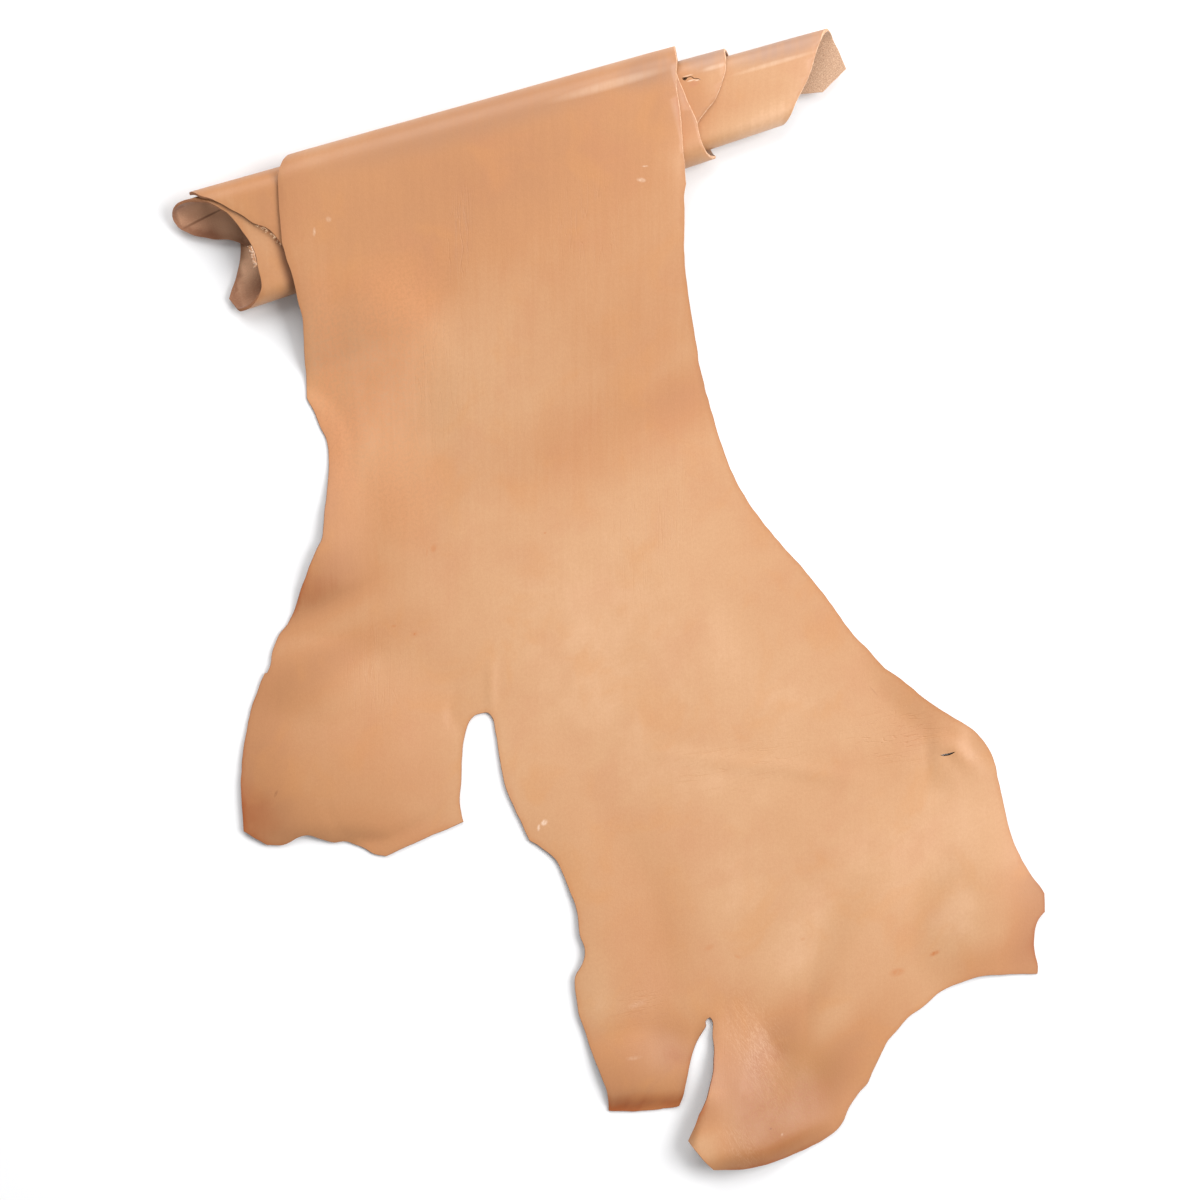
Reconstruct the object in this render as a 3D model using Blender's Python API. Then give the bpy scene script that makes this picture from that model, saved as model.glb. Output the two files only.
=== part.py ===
# A leather belly: one piece of vegetable-tanned hide, grain side up. Its lower part lies on the
# surface with lobes and slots cut in its edge, and its upper end is rolled under itself.
#
# Two directions order everything. "Across" runs along the roll, to the right. "Down" runs square
# to it, from the roll's far side towards the lobes. A place on the hide itself is across and
# "run", the distance along the leather, which is negative inside the roll.

import math
from collections import namedtuple

import bmesh
import bpy
import numpy as np
from mathutils import Matrix, Vector

MM = 0.001

# The hide
THICKNESS = 2.4 * MM
ROLL_HEADING = math.radians(15.7)  # the roll climbs to the right, seen from above

# The roll: loose flattened turns, one layer a little apart from the next
ROLL_HEIGHT = 48.0 * MM
LAYER_STEP = 3.6 * MM  # from the middle of one layer to the middle of the next
TOP_FALL = 0.12  # the roll's broad top drops this much for each length towards the lobes
FAR_BULGE = 0.40  # how far the round far side reaches out, for each length of its height
NEAR_BULGE = 0.45
LEFT_SECTION_ACROSS = -240.0 * MM  # where the left and right sections below are taken
RIGHT_SECTION_ACROSS = 300.0 * MM

# How far down each turn's two round sides reach, from the outermost turn to the innermost
Turn = namedtuple("Turn", "far near_left near_right")
TURNS = (
    Turn(-404.8 * MM, -293.5 * MM, -319.5 * MM),
    Turn(-397.5 * MM, -297.5 * MM, -323.5 * MM),
    Turn(-392.5 * MM, -301.5 * MM, -327.5 * MM),
    Turn(-386.0 * MM, -305.5 * MM, -331.5 * MM),
)

# The flap comes off the top of the roll and meets the surface along its foot
FOOT_DOWN_LEFT = -60.0 * MM
FOOT_DOWN_RIGHT = -162.0 * MM
FLAP_LEAVES = 0.46  # handle lengths of the flap's curve, as shares of its reach
FLAP_LANDS = 0.17
LAID_LENGTH = 640.0 * MM  # past the foot, beyond the lowest lobe

# The share of a turn from the middle of a straight stretch to its free end
LINE_END_TURN = 0.14

# Edges of the rolled end: turn 0 is the top of the roll, 0.25 its far side, 0.5 its underside,
# 0.75 its near side, 1 the top of the next turn. Each stretch is smooth and ends in corners.
RolledEdge = namedtuple("RolledEdge", "turn across")
LEFT_ROLLED_EDGE = {
    "flap to the first tip": (
        RolledEdge(0.00, -163 * MM), RolledEdge(0.06, -159 * MM), RolledEdge(0.125, -154 * MM),
        RolledEdge(0.25, -140 * MM), RolledEdge(0.50, -149 * MM), RolledEdge(0.75, -157 * MM),
        RolledEdge(0.95, -167 * MM), RolledEdge(1.03, -180 * MM), RolledEdge(1.13, -207 * MM),
        RolledEdge(1.18, -219 * MM), RolledEdge(1.25, -226 * MM),
    ),
    "first tip to the second": (
        RolledEdge(1.25, -226 * MM), RolledEdge(1.36, -208 * MM), RolledEdge(1.47, -199 * MM),
        RolledEdge(1.53, -204 * MM), RolledEdge(1.60, -212 * MM), RolledEdge(1.66, -220 * MM),
    ),
    "second tip": (
        RolledEdge(1.66, -220 * MM), RolledEdge(1.74, -214 * MM),
    ),
    "second tip to the end": (
        RolledEdge(1.74, -214 * MM), RolledEdge(1.80, -198 * MM), RolledEdge(1.84, -192 * MM),
        RolledEdge(1.96, -189 * MM), RolledEdge(2.04, -193 * MM), RolledEdge(2.13, -205 * MM),
        RolledEdge(2.25, -233 * MM), RolledEdge(2.31, -247 * MM), RolledEdge(2.37, -244 * MM),
        RolledEdge(2.44, -222 * MM), RolledEdge(2.50, -192 * MM), RolledEdge(2.75, -186 * MM),
        RolledEdge(3.10, -184 * MM), RolledEdge(3.50, -180 * MM),
    ),
}
END_EDGE = {
    "end of the hide": (
        RolledEdge(3.50, -180 * MM), RolledEdge(3.52, -60 * MM), RolledEdge(3.56, 100 * MM),
        RolledEdge(3.55, 266 * MM), RolledEdge(3.575, 280 * MM),
    ),
}
RIGHT_ROLLED_EDGE = {
    "end corner": (
        RolledEdge(3.575, 280 * MM), RolledEdge(3.49, 303 * MM),
    ),
    "third turn": (
        RolledEdge(3.49, 303 * MM), RolledEdge(3.40, 301 * MM), RolledEdge(3.25, 296 * MM),
        RolledEdge(3.11, 282 * MM), RolledEdge(3.00, 273 * MM), RolledEdge(2.86, 256 * MM),
        RolledEdge(2.75, 243 * MM), RolledEdge(2.50, 223 * MM), RolledEdge(2.25, 214 * MM),
        RolledEdge(2.11, 208 * MM), RolledEdge(2.00, 194 * MM), RolledEdge(1.92, 176 * MM),
        RolledEdge(1.75, 168 * MM), RolledEdge(1.50, 165 * MM), RolledEdge(1.25, 169 * MM),
        RolledEdge(1.09, 171 * MM), RolledEdge(0.95, 175 * MM), RolledEdge(0.82, 176 * MM),
        RolledEdge(0.73, 184 * MM),
    ),
    "first turn": (
        RolledEdge(0.73, 184 * MM), RolledEdge(0.50, 178 * MM), RolledEdge(0.25, 176 * MM),
    ),
    "flap": (
        RolledEdge(0.25, 176 * MM), RolledEdge(0.15, 173 * MM), RolledEdge(0.06, 167 * MM),
        RolledEdge(-0.02, 165 * MM),
    ),
}

# Edges of the laid part seen from above: x to the right, y up the picture of the hide, before it
# is centred. Each stretch is smooth, and two stretches meet in a corner.
LaidEdge = namedtuple("LaidEdge", "x y")
RIGHT_LAID_EDGE = {
    "right side of the flap and the shoulder": (
        LaidEdge(67 * MM, 327 * MM), LaidEdge(66 * MM, 288 * MM), LaidEdge(70 * MM, 239 * MM),
        LaidEdge(76 * MM, 204 * MM), LaidEdge(84 * MM, 169 * MM), LaidEdge(96 * MM, 129 * MM),
        LaidEdge(116 * MM, 82 * MM), LaidEdge(149 * MM, 40 * MM), LaidEdge(183 * MM, 0 * MM),
        LaidEdge(217 * MM, -43 * MM), LaidEdge(240 * MM, -62 * MM), LaidEdge(268 * MM, -85 * MM),
        LaidEdge(295 * MM, -101 * MM), LaidEdge(310 * MM, -117 * MM), LaidEdge(318 * MM, -143 * MM),
        LaidEdge(323 * MM, -164 * MM), LaidEdge(332 * MM, -195 * MM), LaidEdge(345 * MM, -221 * MM),
        LaidEdge(355.5 * MM, -234 * MM),
    ),
    "right tip, upper corner": (
        LaidEdge(355.5 * MM, -234 * MM), LaidEdge(356 * MM, -249 * MM),
    ),
    "right tip, hollow": (
        LaidEdge(356 * MM, -249 * MM), LaidEdge(348 * MM, -262 * MM), LaidEdge(347 * MM, -272 * MM),
        LaidEdge(350 * MM, -299 * MM),
    ),
}
LOWER_LAID_EDGE = {
    "bay under the right tip": (
        LaidEdge(350 * MM, -299 * MM), LaidEdge(328 * MM, -299.5 * MM), LaidEdge(303 * MM, -301.5 * MM),
        LaidEdge(287 * MM, -307 * MM), LaidEdge(268 * MM, -316 * MM), LaidEdge(247 * MM, -334 * MM),
        LaidEdge(229 * MM, -355 * MM), LaidEdge(214 * MM, -386 * MM), LaidEdge(200 * MM, -405 * MM),
        LaidEdge(187 * MM, -426 * MM), LaidEdge(157 * MM, -441 * MM), LaidEdge(121 * MM, -454 * MM),
        LaidEdge(90 * MM, -455.5 * MM),
    ),
    "right lobe, lower corner": (
        LaidEdge(90 * MM, -455.5 * MM), LaidEdge(68.5 * MM, -430 * MM),
    ),
    "second slot, right side": (
        LaidEdge(68.5 * MM, -430 * MM), LaidEdge(76.5 * MM, -411 * MM), LaidEdge(85 * MM, -389 * MM),
        LaidEdge(90 * MM, -364 * MM), LaidEdge(89.5 * MM, -338 * MM), LaidEdge(87 * MM, -334 * MM),
        LaidEdge(84 * MM, -340 * MM), LaidEdge(76 * MM, -357 * MM), LaidEdge(69.5 * MM, -383 * MM),
        LaidEdge(63.5 * MM, -405 * MM),
    ),
    "middle lobe, foot": (
        LaidEdge(63.5 * MM, -405 * MM), LaidEdge(38 * MM, -408.5 * MM), LaidEdge(5.5 * MM, -408.5 * MM),
    ),
    "middle lobe, left side": (
        LaidEdge(5.5 * MM, -408.5 * MM), LaidEdge(-0.5 * MM, -381 * MM), LaidEdge(-12.5 * MM, -347 * MM),
        LaidEdge(-19 * MM, -323 * MM), LaidEdge(-21 * MM, -302 * MM), LaidEdge(-13 * MM, -286 * MM),
        LaidEdge(-17 * MM, -257 * MM), LaidEdge(-25 * MM, -231 * MM), LaidEdge(-35 * MM, -209 * MM),
        LaidEdge(-56.5 * MM, -192 * MM),
    ),
    "first slot": (
        LaidEdge(-56.5 * MM, -192 * MM), LaidEdge(-67 * MM, -171 * MM), LaidEdge(-77 * MM, -146 * MM),
        LaidEdge(-82 * MM, -118 * MM), LaidEdge(-85.5 * MM, -96 * MM), LaidEdge(-92 * MM, -90.5 * MM),
        LaidEdge(-102 * MM, -94 * MM), LaidEdge(-108 * MM, -108 * MM), LaidEdge(-110.5 * MM, -130 * MM),
        LaidEdge(-111.5 * MM, -160 * MM), LaidEdge(-109 * MM, -177.5 * MM),
    ),
    "left lobe, foot on the right": (
        LaidEdge(-109 * MM, -177.5 * MM), LaidEdge(-128 * MM, -185.5 * MM), LaidEdge(-171 * MM, -205 * MM),
    ),
    "left lobe, foot on the left": (
        LaidEdge(-171 * MM, -205 * MM), LaidEdge(-183 * MM, -202 * MM), LaidEdge(-200 * MM, -194.5 * MM),
        LaidEdge(-214 * MM, -193.5 * MM), LaidEdge(-234 * MM, -188 * MM), LaidEdge(-251 * MM, -195 * MM),
        LaidEdge(-266 * MM, -196 * MM),
    ),
    "left lobe, corner": (
        LaidEdge(-266 * MM, -196 * MM), LaidEdge(-284.5 * MM, -185 * MM),
    ),
}
LEFT_LAID_EDGE = {
    "left lobe, outer side": (
        LaidEdge(-284.5 * MM, -185 * MM), LaidEdge(-286.5 * MM, -148 * MM), LaidEdge(-283 * MM, -105 * MM),
        LaidEdge(-274 * MM, -71 * MM), LaidEdge(-267 * MM, -57 * MM),
    ),
    "waist": (
        LaidEdge(-267 * MM, -57 * MM), LaidEdge(-261 * MM, -37 * MM), LaidEdge(-247 * MM, -13 * MM),
        LaidEdge(-237 * MM, 15 * MM), LaidEdge(-223 * MM, 47 * MM), LaidEdge(-219 * MM, 75 * MM),
        LaidEdge(-215.5 * MM, 108 * MM), LaidEdge(-220 * MM, 129 * MM), LaidEdge(-233.5 * MM, 159 * MM),
    ),
    "left side of the flap": (
        LaidEdge(-233.5 * MM, 159 * MM), LaidEdge(-236 * MM, 202 * MM), LaidEdge(-243 * MM, 246 * MM),
        LaidEdge(-247 * MM, 263 * MM),
    ),
}

# Where the laid part stands off the surface: the middle, half sizes and height of each soft swell,
# and its heading from the x axis in degrees. A swell ends flat at its rim.
Swell = namedtuple("Swell", "x y heading half_length half_width height")
SWELLS = {
    "left edge over the waist": Swell(-240 * MM, 44 * MM, 70, 80 * MM, 60 * MM, 9 * MM),
    "left lobe": Swell(-232 * MM, -138 * MM, 35, 130 * MM, 95 * MM, 13 * MM),
    "right side of the first slot": Swell(-78 * MM, -150 * MM, 115, 70 * MM, 35 * MM, 6 * MM),
    "middle lobe": Swell(12 * MM, -290 * MM, 100, 140 * MM, 85 * MM, 12 * MM),
    "right lobe": Swell(96 * MM, -398 * MM, 68, 92 * MM, 62 * MM, 24 * MM),
    "right tip": Swell(312 * MM, -236 * MM, 70, 95 * MM, 60 * MM, 8 * MM),
    "shoulder edge": Swell(272 * MM, -76 * MM, -40, 80 * MM, 36 * MM, 8 * MM),
}

# How finely the shape is cut into flat facets
HALF_ARC_STEPS = 5
HALF_LINE_STEPS = 2
FLAP_STEPS = 14
LAID_ROW = 21.0 * MM
LAID_COLUMN = 23.0 * MM
ROLLED_COLUMN = 75.0 * MM
EDGE_POINT_SPACING = 11.0 * MM
SLIVER = 1.0 * MM  # a cut passes through a point that is nearer than this


# One section of the hide, as (down, height) points

def straight(start, end, steps):
    return [start.lerp(end, number / steps) for number in range(1, steps + 1)]


def bezier(start, leave, arrive, end, steps):
    points = []
    for number in range(1, steps + 1):
        t = number / steps
        begin = start * (1 - t) ** 3 + leave * (3 * t * (1 - t) ** 2)
        finish = arrive * (3 * t * t * (1 - t)) + end * t ** 3
        points.append(begin + finish)
    return points


def top_height(layer, down):
    shoulder = TURNS[0].far + FAR_BULGE * ROLL_HEIGHT
    return ROLL_HEIGHT - THICKNESS / 2 - layer * LAYER_STEP - TOP_FALL * (down - shoulder)


def underside_height(layer):
    return THICKNESS / 2 + layer * LAYER_STEP


# Where each layer's straight stretches end, before its round near side and its round far side
def near_line_end(near, layer):
    return near - NEAR_BULGE * (top_height(layer + 1, near) - underside_height(layer))


def far_line_end(far, layer):
    return far + FAR_BULGE * (top_height(layer, far) - underside_height(layer))


# From the flap's start over the top of the roll and inwards, with the turn at each mark
def roll_section(nears):
    rise = Vector((-1.0, TOP_FALL)).normalized()
    back = Vector((-1.0, 0.0))
    line_start = near_line_end(nears[0], 0)
    points = [Vector((line_start, top_height(0, line_start)))]
    marks = {}
    for layer, turn in enumerate(TURNS):
        far_end = far_line_end(turn.far, layer)
        near_end = near_line_end(nears[layer], layer)
        top_far = Vector((far_end, top_height(layer, far_end)))
        under_far = Vector((far_end, underside_height(layer)))
        under_near = Vector((near_end, underside_height(layer)))
        next_top = Vector((near_end, top_height(layer + 1, near_end)))
        far_handle = (far_end - turn.far) * 4 / 3
        near_handle = (nears[layer] - near_end) * 4 / 3

        points += straight(points[-1], top_far, 2 * HALF_LINE_STEPS)
        marks[len(points) - 1 - HALF_LINE_STEPS] = layer
        points += bezier(
            top_far, top_far + rise * far_handle, under_far + back * far_handle, under_far, 2 * HALF_ARC_STEPS
        )
        marks[len(points) - 1 - HALF_ARC_STEPS] = layer + 0.25
        points += straight(under_far, under_near, 2 * HALF_LINE_STEPS)
        marks[len(points) - 1 - HALF_LINE_STEPS] = layer + 0.5
        if layer < len(TURNS) - 1:
            points += bezier(
                under_near, under_near - back * near_handle, next_top - rise * near_handle, next_top,
                2 * HALF_ARC_STEPS,
            )
            marks[len(points) - 1 - HALF_ARC_STEPS] = layer + 0.75
    marks[0] = -LINE_END_TURN
    marks[len(points) - 1] = len(TURNS) - 0.5 + LINE_END_TURN
    return points, marks


# From the flap's start down to its foot and on along the surface
def laid_section(start, foot_down):
    reach = foot_down - start.x
    foot = Vector((foot_down, THICKNESS / 2))
    leave = start + Vector((1.0, -TOP_FALL)) * (FLAP_LEAVES * reach)
    arrive = foot - Vector((FLAP_LANDS * reach, 0.0))
    points = bezier(start, leave, arrive, foot, FLAP_STEPS)
    rows = math.ceil(LAID_LENGTH / LAID_ROW)
    return points + straight(foot, foot + Vector((LAID_LENGTH, 0.0)), rows)


def lengths_along(points):
    steps = [(b - a).length for a, b in zip(points, points[1:])]
    return np.concatenate([[0.0], np.cumsum(steps)])


# The hide between its left and right sections: run, turn, and down and height at each side
class Hide:
    def __init__(self):
        sides = []
        for nears, foot in (
            ([turn.near_left for turn in TURNS], FOOT_DOWN_LEFT),
            ([turn.near_right for turn in TURNS], FOOT_DOWN_RIGHT),
        ):
            rolled, marks = roll_section(nears)
            laid = laid_section(rolled[0], foot)
            rolled_lengths = lengths_along(rolled)
            laid_lengths = lengths_along([rolled[0]] + laid)
            mark_numbers = sorted(marks)
            turns = np.interp(
                rolled_lengths, rolled_lengths[mark_numbers], [marks[number] for number in mark_numbers]
            )
            run = np.concatenate([-rolled_lengths[::-1], laid_lengths[1:]])
            sides.append((run, np.array(rolled[::-1] + laid), turns[::-1]))
        (left_run, self.left, left_turn), (right_run, self.right, right_turn) = sides
        self.run = (left_run + right_run) / 2
        self.rolled = len(left_turn)
        self.turn = (left_turn + right_turn) / 2

    # How far across a place lies between the two sections
    def share(self, across):
        return (across - LEFT_SECTION_ACROSS) / (RIGHT_SECTION_ACROSS - LEFT_SECTION_ACROSS)

    def from_turn(self, edge):
        run = np.interp(-edge.turn, -self.turn, self.run[:self.rolled])
        return Vector((edge.across, run))

    def from_above(self, edge):
        across = edge.x * math.cos(ROLL_HEADING) + edge.y * math.sin(ROLL_HEADING)
        down = edge.x * math.sin(ROLL_HEADING) - edge.y * math.cos(ROLL_HEADING)
        share = self.share(across)
        first = self.rolled - 1 - HALF_LINE_STEPS
        downs = self.left[first:, 0] * (1 - share) + self.right[first:, 0] * share
        return Vector((across, np.interp(down, downs, self.run[first:])))

    # The place in space of a point of the hide's middle surface
    def place(self, across, run):
        share = self.share(across)
        down = np.interp(run, self.run, self.left[:, 0]) * (1 - share)
        down += np.interp(run, self.run, self.right[:, 0]) * share
        height = np.interp(run, self.run, self.left[:, 1]) * (1 - share)
        height += np.interp(run, self.run, self.right[:, 1]) * share
        x = across * math.cos(ROLL_HEADING) + down * math.sin(ROLL_HEADING)
        y = across * math.sin(ROLL_HEADING) - down * math.cos(ROLL_HEADING)
        if run > 0:
            height += sum(swell_height(swell, x, y) for swell in SWELLS.values())
        return Vector((x, y, height))


def swell_height(swell, x, y):
    heading = math.radians(swell.heading)
    along = (x - swell.x) * math.cos(heading) + (y - swell.y) * math.sin(heading)
    beside = (y - swell.y) * math.cos(heading) - (x - swell.x) * math.sin(heading)
    away = (along / swell.half_length) ** 2 + (beside / swell.half_width) ** 2
    return swell.height * max(0.0, 1.0 - away) ** 2


# A smooth stretch through its points, without its last point, which starts the next stretch
def smooth_stretch(points):
    gaps = [(b - a).length for a, b in zip(points, points[1:])]
    ways = [(b - a) / gap for a, b, gap in zip(points, points[1:], gaps)]
    slopes = [ways[0]]
    for number in range(1, len(ways)):
        before, after = gaps[number - 1], gaps[number]
        slopes.append((ways[number - 1] * after + ways[number] * before) / (before + after))
    slopes.append(ways[-1])
    smooth = []
    for number, gap in enumerate(gaps):
        start, end = points[number], points[number + 1]
        steps = max(1, round(gap / EDGE_POINT_SPACING))
        curve = bezier(
            start, start + slopes[number] * (gap / 3), end - slopes[number + 1] * (gap / 3), end, steps
        )
        smooth += [start] + curve[:-1]
    return smooth


# The whole edge of the hide, once around
def hide_edge(hide):
    edge = []
    for table, to_hide in (
        (LEFT_ROLLED_EDGE, hide.from_turn),
        (END_EDGE, hide.from_turn),
        (RIGHT_ROLLED_EDGE, hide.from_turn),
        (RIGHT_LAID_EDGE, hide.from_above),
        (LOWER_LAID_EDGE, hide.from_above),
        (LEFT_LAID_EDGE, hide.from_above),
    ):
        for stretch in table.values():
            edge += smooth_stretch([to_hide(point) for point in stretch])
        edge.append(to_hide(stretch[-1]))
    return edge


def cut(mesh, faces, place, normal):
    around = set()
    for face in faces:
        around.update(face.verts)
        around.update(face.edges)
    bmesh.ops.bisect_plane(
        mesh, geom=list(faces) + list(around), plane_co=place, plane_no=normal, dist=SLIVER
    )


# The flat hide, cut into rows at every station of its section and into columns
def flat_hide(hide):
    mesh = bmesh.new()
    mesh.faces.new([mesh.verts.new((*point, 0.0)) for point in hide_edge(hide)])
    bmesh.ops.remove_doubles(mesh, verts=mesh.verts, dist=SLIVER)
    for run in hide.run[1:-1]:
        cut(mesh, mesh.faces, (0.0, run, 0.0), (0.0, 1.0, 0.0))
    widest = max(abs(vert.co.x) for vert in mesh.verts)
    for column, rolled in ((LAID_COLUMN, False), (ROLLED_COLUMN, True)):
        count = math.floor(widest / column)
        for number in range(-count, count + 1):
            faces = [face for face in mesh.faces if (face.calc_center_median().y < 0) == rolled]
            cut(mesh, faces, (number * column, 0.0, 0.0), (1.0, 0.0, 0.0))
    bmesh.ops.triangulate(mesh, faces=mesh.faces)
    return mesh


def leather():
    material = bpy.data.materials.new("vegetable tanned leather")
    material.use_nodes = True
    shader = material.node_tree.nodes["Principled BSDF"]
    shader.inputs["Base Color"].default_value = (0.72, 0.42, 0.22, 1.0)
    shader.inputs["Roughness"].default_value = 0.48
    shader.inputs["Metallic"].default_value = 0.0
    return material


def leather_belly():
    hide = Hide()
    shape = flat_hide(hide)
    for vert in shape.verts:
        vert.co = hide.place(vert.co.x, vert.co.y)
    mesh = bpy.data.meshes.new("leather_belly")
    shape.to_mesh(mesh)
    shape.free()
    mesh.materials.append(leather())
    mesh.shade_smooth()
    mesh.set_sharp_from_angle(angle=math.radians(40))
    belly = bpy.data.objects.new("leather_belly", mesh)
    bpy.context.scene.collection.objects.link(belly)
    body = belly.modifiers.new("thickness", "SOLIDIFY")
    body.thickness = THICKNESS
    body.offset = 0.0
    body.use_even_offset = True
    return belly


# The origin goes to the middle of the object's footprint, on the surface that it rests on
def centre_on_footprint(belly):
    bpy.context.view_layer.update()
    corners = [Vector(corner) for corner in belly.evaluated_get(bpy.context.evaluated_depsgraph_get()).bound_box]
    low = Vector([min(corner[axis] for corner in corners) for axis in range(3)])
    high = Vector([max(corner[axis] for corner in corners) for axis in range(3)])
    middle = (low + high) / 2
    belly.data.transform(Matrix.Translation((-middle.x, -middle.y, -low.z)))


def main():
    for other in list(bpy.data.objects):
        bpy.data.objects.remove(other, do_unlink=True)
    centre_on_footprint(leather_belly())


main()
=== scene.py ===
import math

import bpy
import numpy as np
from mathutils import Matrix, Vector, kdtree, noise
from mathutils.geometry import delaunay_2d_cdt


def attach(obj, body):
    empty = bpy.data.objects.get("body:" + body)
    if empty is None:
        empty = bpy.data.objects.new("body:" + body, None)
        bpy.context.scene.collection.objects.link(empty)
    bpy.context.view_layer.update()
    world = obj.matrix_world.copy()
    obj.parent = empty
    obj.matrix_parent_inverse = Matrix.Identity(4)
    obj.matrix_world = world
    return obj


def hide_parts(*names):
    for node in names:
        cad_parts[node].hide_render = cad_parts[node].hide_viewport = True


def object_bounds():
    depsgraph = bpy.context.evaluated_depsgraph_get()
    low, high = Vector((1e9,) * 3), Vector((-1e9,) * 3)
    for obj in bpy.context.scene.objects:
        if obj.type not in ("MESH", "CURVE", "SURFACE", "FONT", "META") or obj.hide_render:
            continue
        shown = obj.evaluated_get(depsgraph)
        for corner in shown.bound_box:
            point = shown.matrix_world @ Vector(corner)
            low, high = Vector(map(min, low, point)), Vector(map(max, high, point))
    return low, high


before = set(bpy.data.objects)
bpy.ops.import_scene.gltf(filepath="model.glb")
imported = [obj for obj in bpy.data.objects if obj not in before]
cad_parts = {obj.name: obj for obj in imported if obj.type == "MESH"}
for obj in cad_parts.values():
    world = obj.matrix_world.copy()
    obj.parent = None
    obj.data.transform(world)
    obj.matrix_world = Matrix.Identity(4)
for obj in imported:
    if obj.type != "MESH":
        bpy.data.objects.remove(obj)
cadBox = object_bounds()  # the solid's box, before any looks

# A vegetable-tanned belly, grain side up. A place on the hide is "across", along the roll, and
# "run", along the leather, which is negative inside the roll. Sizes are metres, unless a note says mm.

mm = 0.001

hide = {
    "thickness": 2.4 * mm,
    "rollHeading": math.radians(15.7),  # the roll climbs to the right
    "rollHeight": 48 * mm,
    "layerStep": 3.6 * mm,  # middle of one layer to the middle of the next
    "topFall": 0.12,  # drop of the roll's broad top, towards the lobes
    "farBulge": 0.40,  # reach of the round sides, for each length of their height
    "nearBulge": 0.45,
    "sectionsAt": (-240 * mm, 300 * mm),  # across, of the left and the right section
    "far": (-404.8 * mm, -397.5 * mm, -392.5 * mm, -386.0 * mm),  # outermost turn first
    "near": (
        (-293.5 * mm, -297.5 * mm, -301.5 * mm, -305.5 * mm),
        (-319.5 * mm, -323.5 * mm, -327.5 * mm, -331.5 * mm),
    ),
    "foot": (-60 * mm, -162 * mm),  # down, where the flap meets the surface
    "flapLeaves": 0.46,
    "flapLands": 0.17,
    "laidLength": 640 * mm,
    "lineEndTurn": 0.14,  # turns from the middle of a straight stretch to its free end
}

camera = {
    "height": 2.4,
    "lens": 90,
    "sensor": 36,
}

fineness = {
    "arcSteps": 20,  # for half of a round side
    "lineSteps": 8,  # for half of a straight stretch
    "flapSteps": 60,
    "laidSteps": 100,
    "rolledRow": 2.7 * mm,
    "rolledColumn": 7.5 * mm,
    "laidCell": 3.7 * mm,
    "edgeStep": 2.3 * mm,
    "rolledClear": 1.5 * mm,  # from the edge to the first points inside it
    "laidClear": 2.0 * mm,
    "holeClear": 1.2 * mm,
}


# The hide's left and right sections

def straightLine(start, end, steps):
    t = np.linspace(0, 1, steps + 1)[1:, None]
    return start + (end - start) * t


def bezierCurve(start, leave, arrive, end, steps):
    t = np.linspace(0, 1, steps + 1)[1:, None]
    s = 1 - t
    return start * s**3 + leave * (3 * t * s * s) + arrive * (3 * t * t * s) + end * t**3


def topHeight(layer, down):
    shoulder = hide["far"][0] + hide["farBulge"] * hide["rollHeight"]
    crest = hide["rollHeight"] - hide["thickness"] / 2
    return crest - layer * hide["layerStep"] - hide["topFall"] * (down - shoulder)


def undersideHeight(layer):
    return hide["thickness"] / 2 + layer * hide["layerStep"]


def nearLineEnd(near, layer):
    return near - hide["nearBulge"] * (topHeight(layer + 1, near) - undersideHeight(layer))


def farLineEnd(far, layer):
    return far + hide["farBulge"] * (topHeight(layer, far) - undersideHeight(layer))


def roundSide(start, leave, end, arrive):
    return bezierCurve(start, start + leave, end + arrive, end, 2 * fineness["arcSteps"])


def rolledSection(nears):  # from the flap's start inwards, with the turn at some points
    slope = np.array((-1.0, hide["topFall"]))
    rise = slope / np.linalg.norm(slope)
    back = np.array((-1.0, 0.0))
    steps = 2 * fineness["lineSteps"]
    lineStart = nearLineEnd(nears[0], 0)
    points = [np.array([[lineStart, topHeight(0, lineStart)]])]
    marks = {0: -hide["lineEndTurn"]}
    count = 1
    for layer, far in enumerate(hide["far"]):
        farEnd, nearEnd = farLineEnd(far, layer), nearLineEnd(nears[layer], layer)
        topFar = np.array((farEnd, topHeight(layer, farEnd)))
        underFar = np.array((farEnd, undersideHeight(layer)))
        underNear = np.array((nearEnd, undersideHeight(layer)))
        nextTop = np.array((nearEnd, topHeight(layer + 1, nearEnd)))
        farHandle = (farEnd - far) * 4 / 3  # takes the curve just out to its far side
        nearHandle = (nears[layer] - nearEnd) * 4 / 3
        stretches = [
            (layer, straightLine(points[-1][-1], topFar, steps)),
            (layer + 0.25, roundSide(topFar, rise * farHandle, underFar, back * farHandle)),
            (layer + 0.5, straightLine(underFar, underNear, steps)),
        ]
        if layer < len(hide["far"]) - 1:
            nearSide = roundSide(underNear, -back * nearHandle, nextTop, -rise * nearHandle)
            stretches.append((layer + 0.75, nearSide))
        for turn, stretch in stretches:
            points.append(stretch)
            marks[count - 1 + len(stretch) // 2] = turn
            count += len(stretch)
    marks[count - 1] = len(hide["far"]) - 0.5 + hide["lineEndTurn"]
    return np.concatenate(points), marks


def laidSection(start, foot):  # from the flap's start down to its foot and on along the surface
    reach = foot - start[0]
    landing = np.array((foot, hide["thickness"] / 2))
    leave = start + np.array((1.0, -hide["topFall"])) * (hide["flapLeaves"] * reach)
    arrive = landing - np.array((hide["flapLands"] * reach, 0.0))
    flap = bezierCurve(start, leave, arrive, landing, fineness["flapSteps"])
    laidEnd = landing + np.array((hide["laidLength"], 0.0))
    laid = straightLine(landing, laidEnd, fineness["laidSteps"])
    return np.concatenate([flap, laid])


def lengthsAlong(points):
    return np.concatenate([[0.0], np.cumsum(np.linalg.norm(np.diff(points, axis=0), axis=1))])


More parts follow.
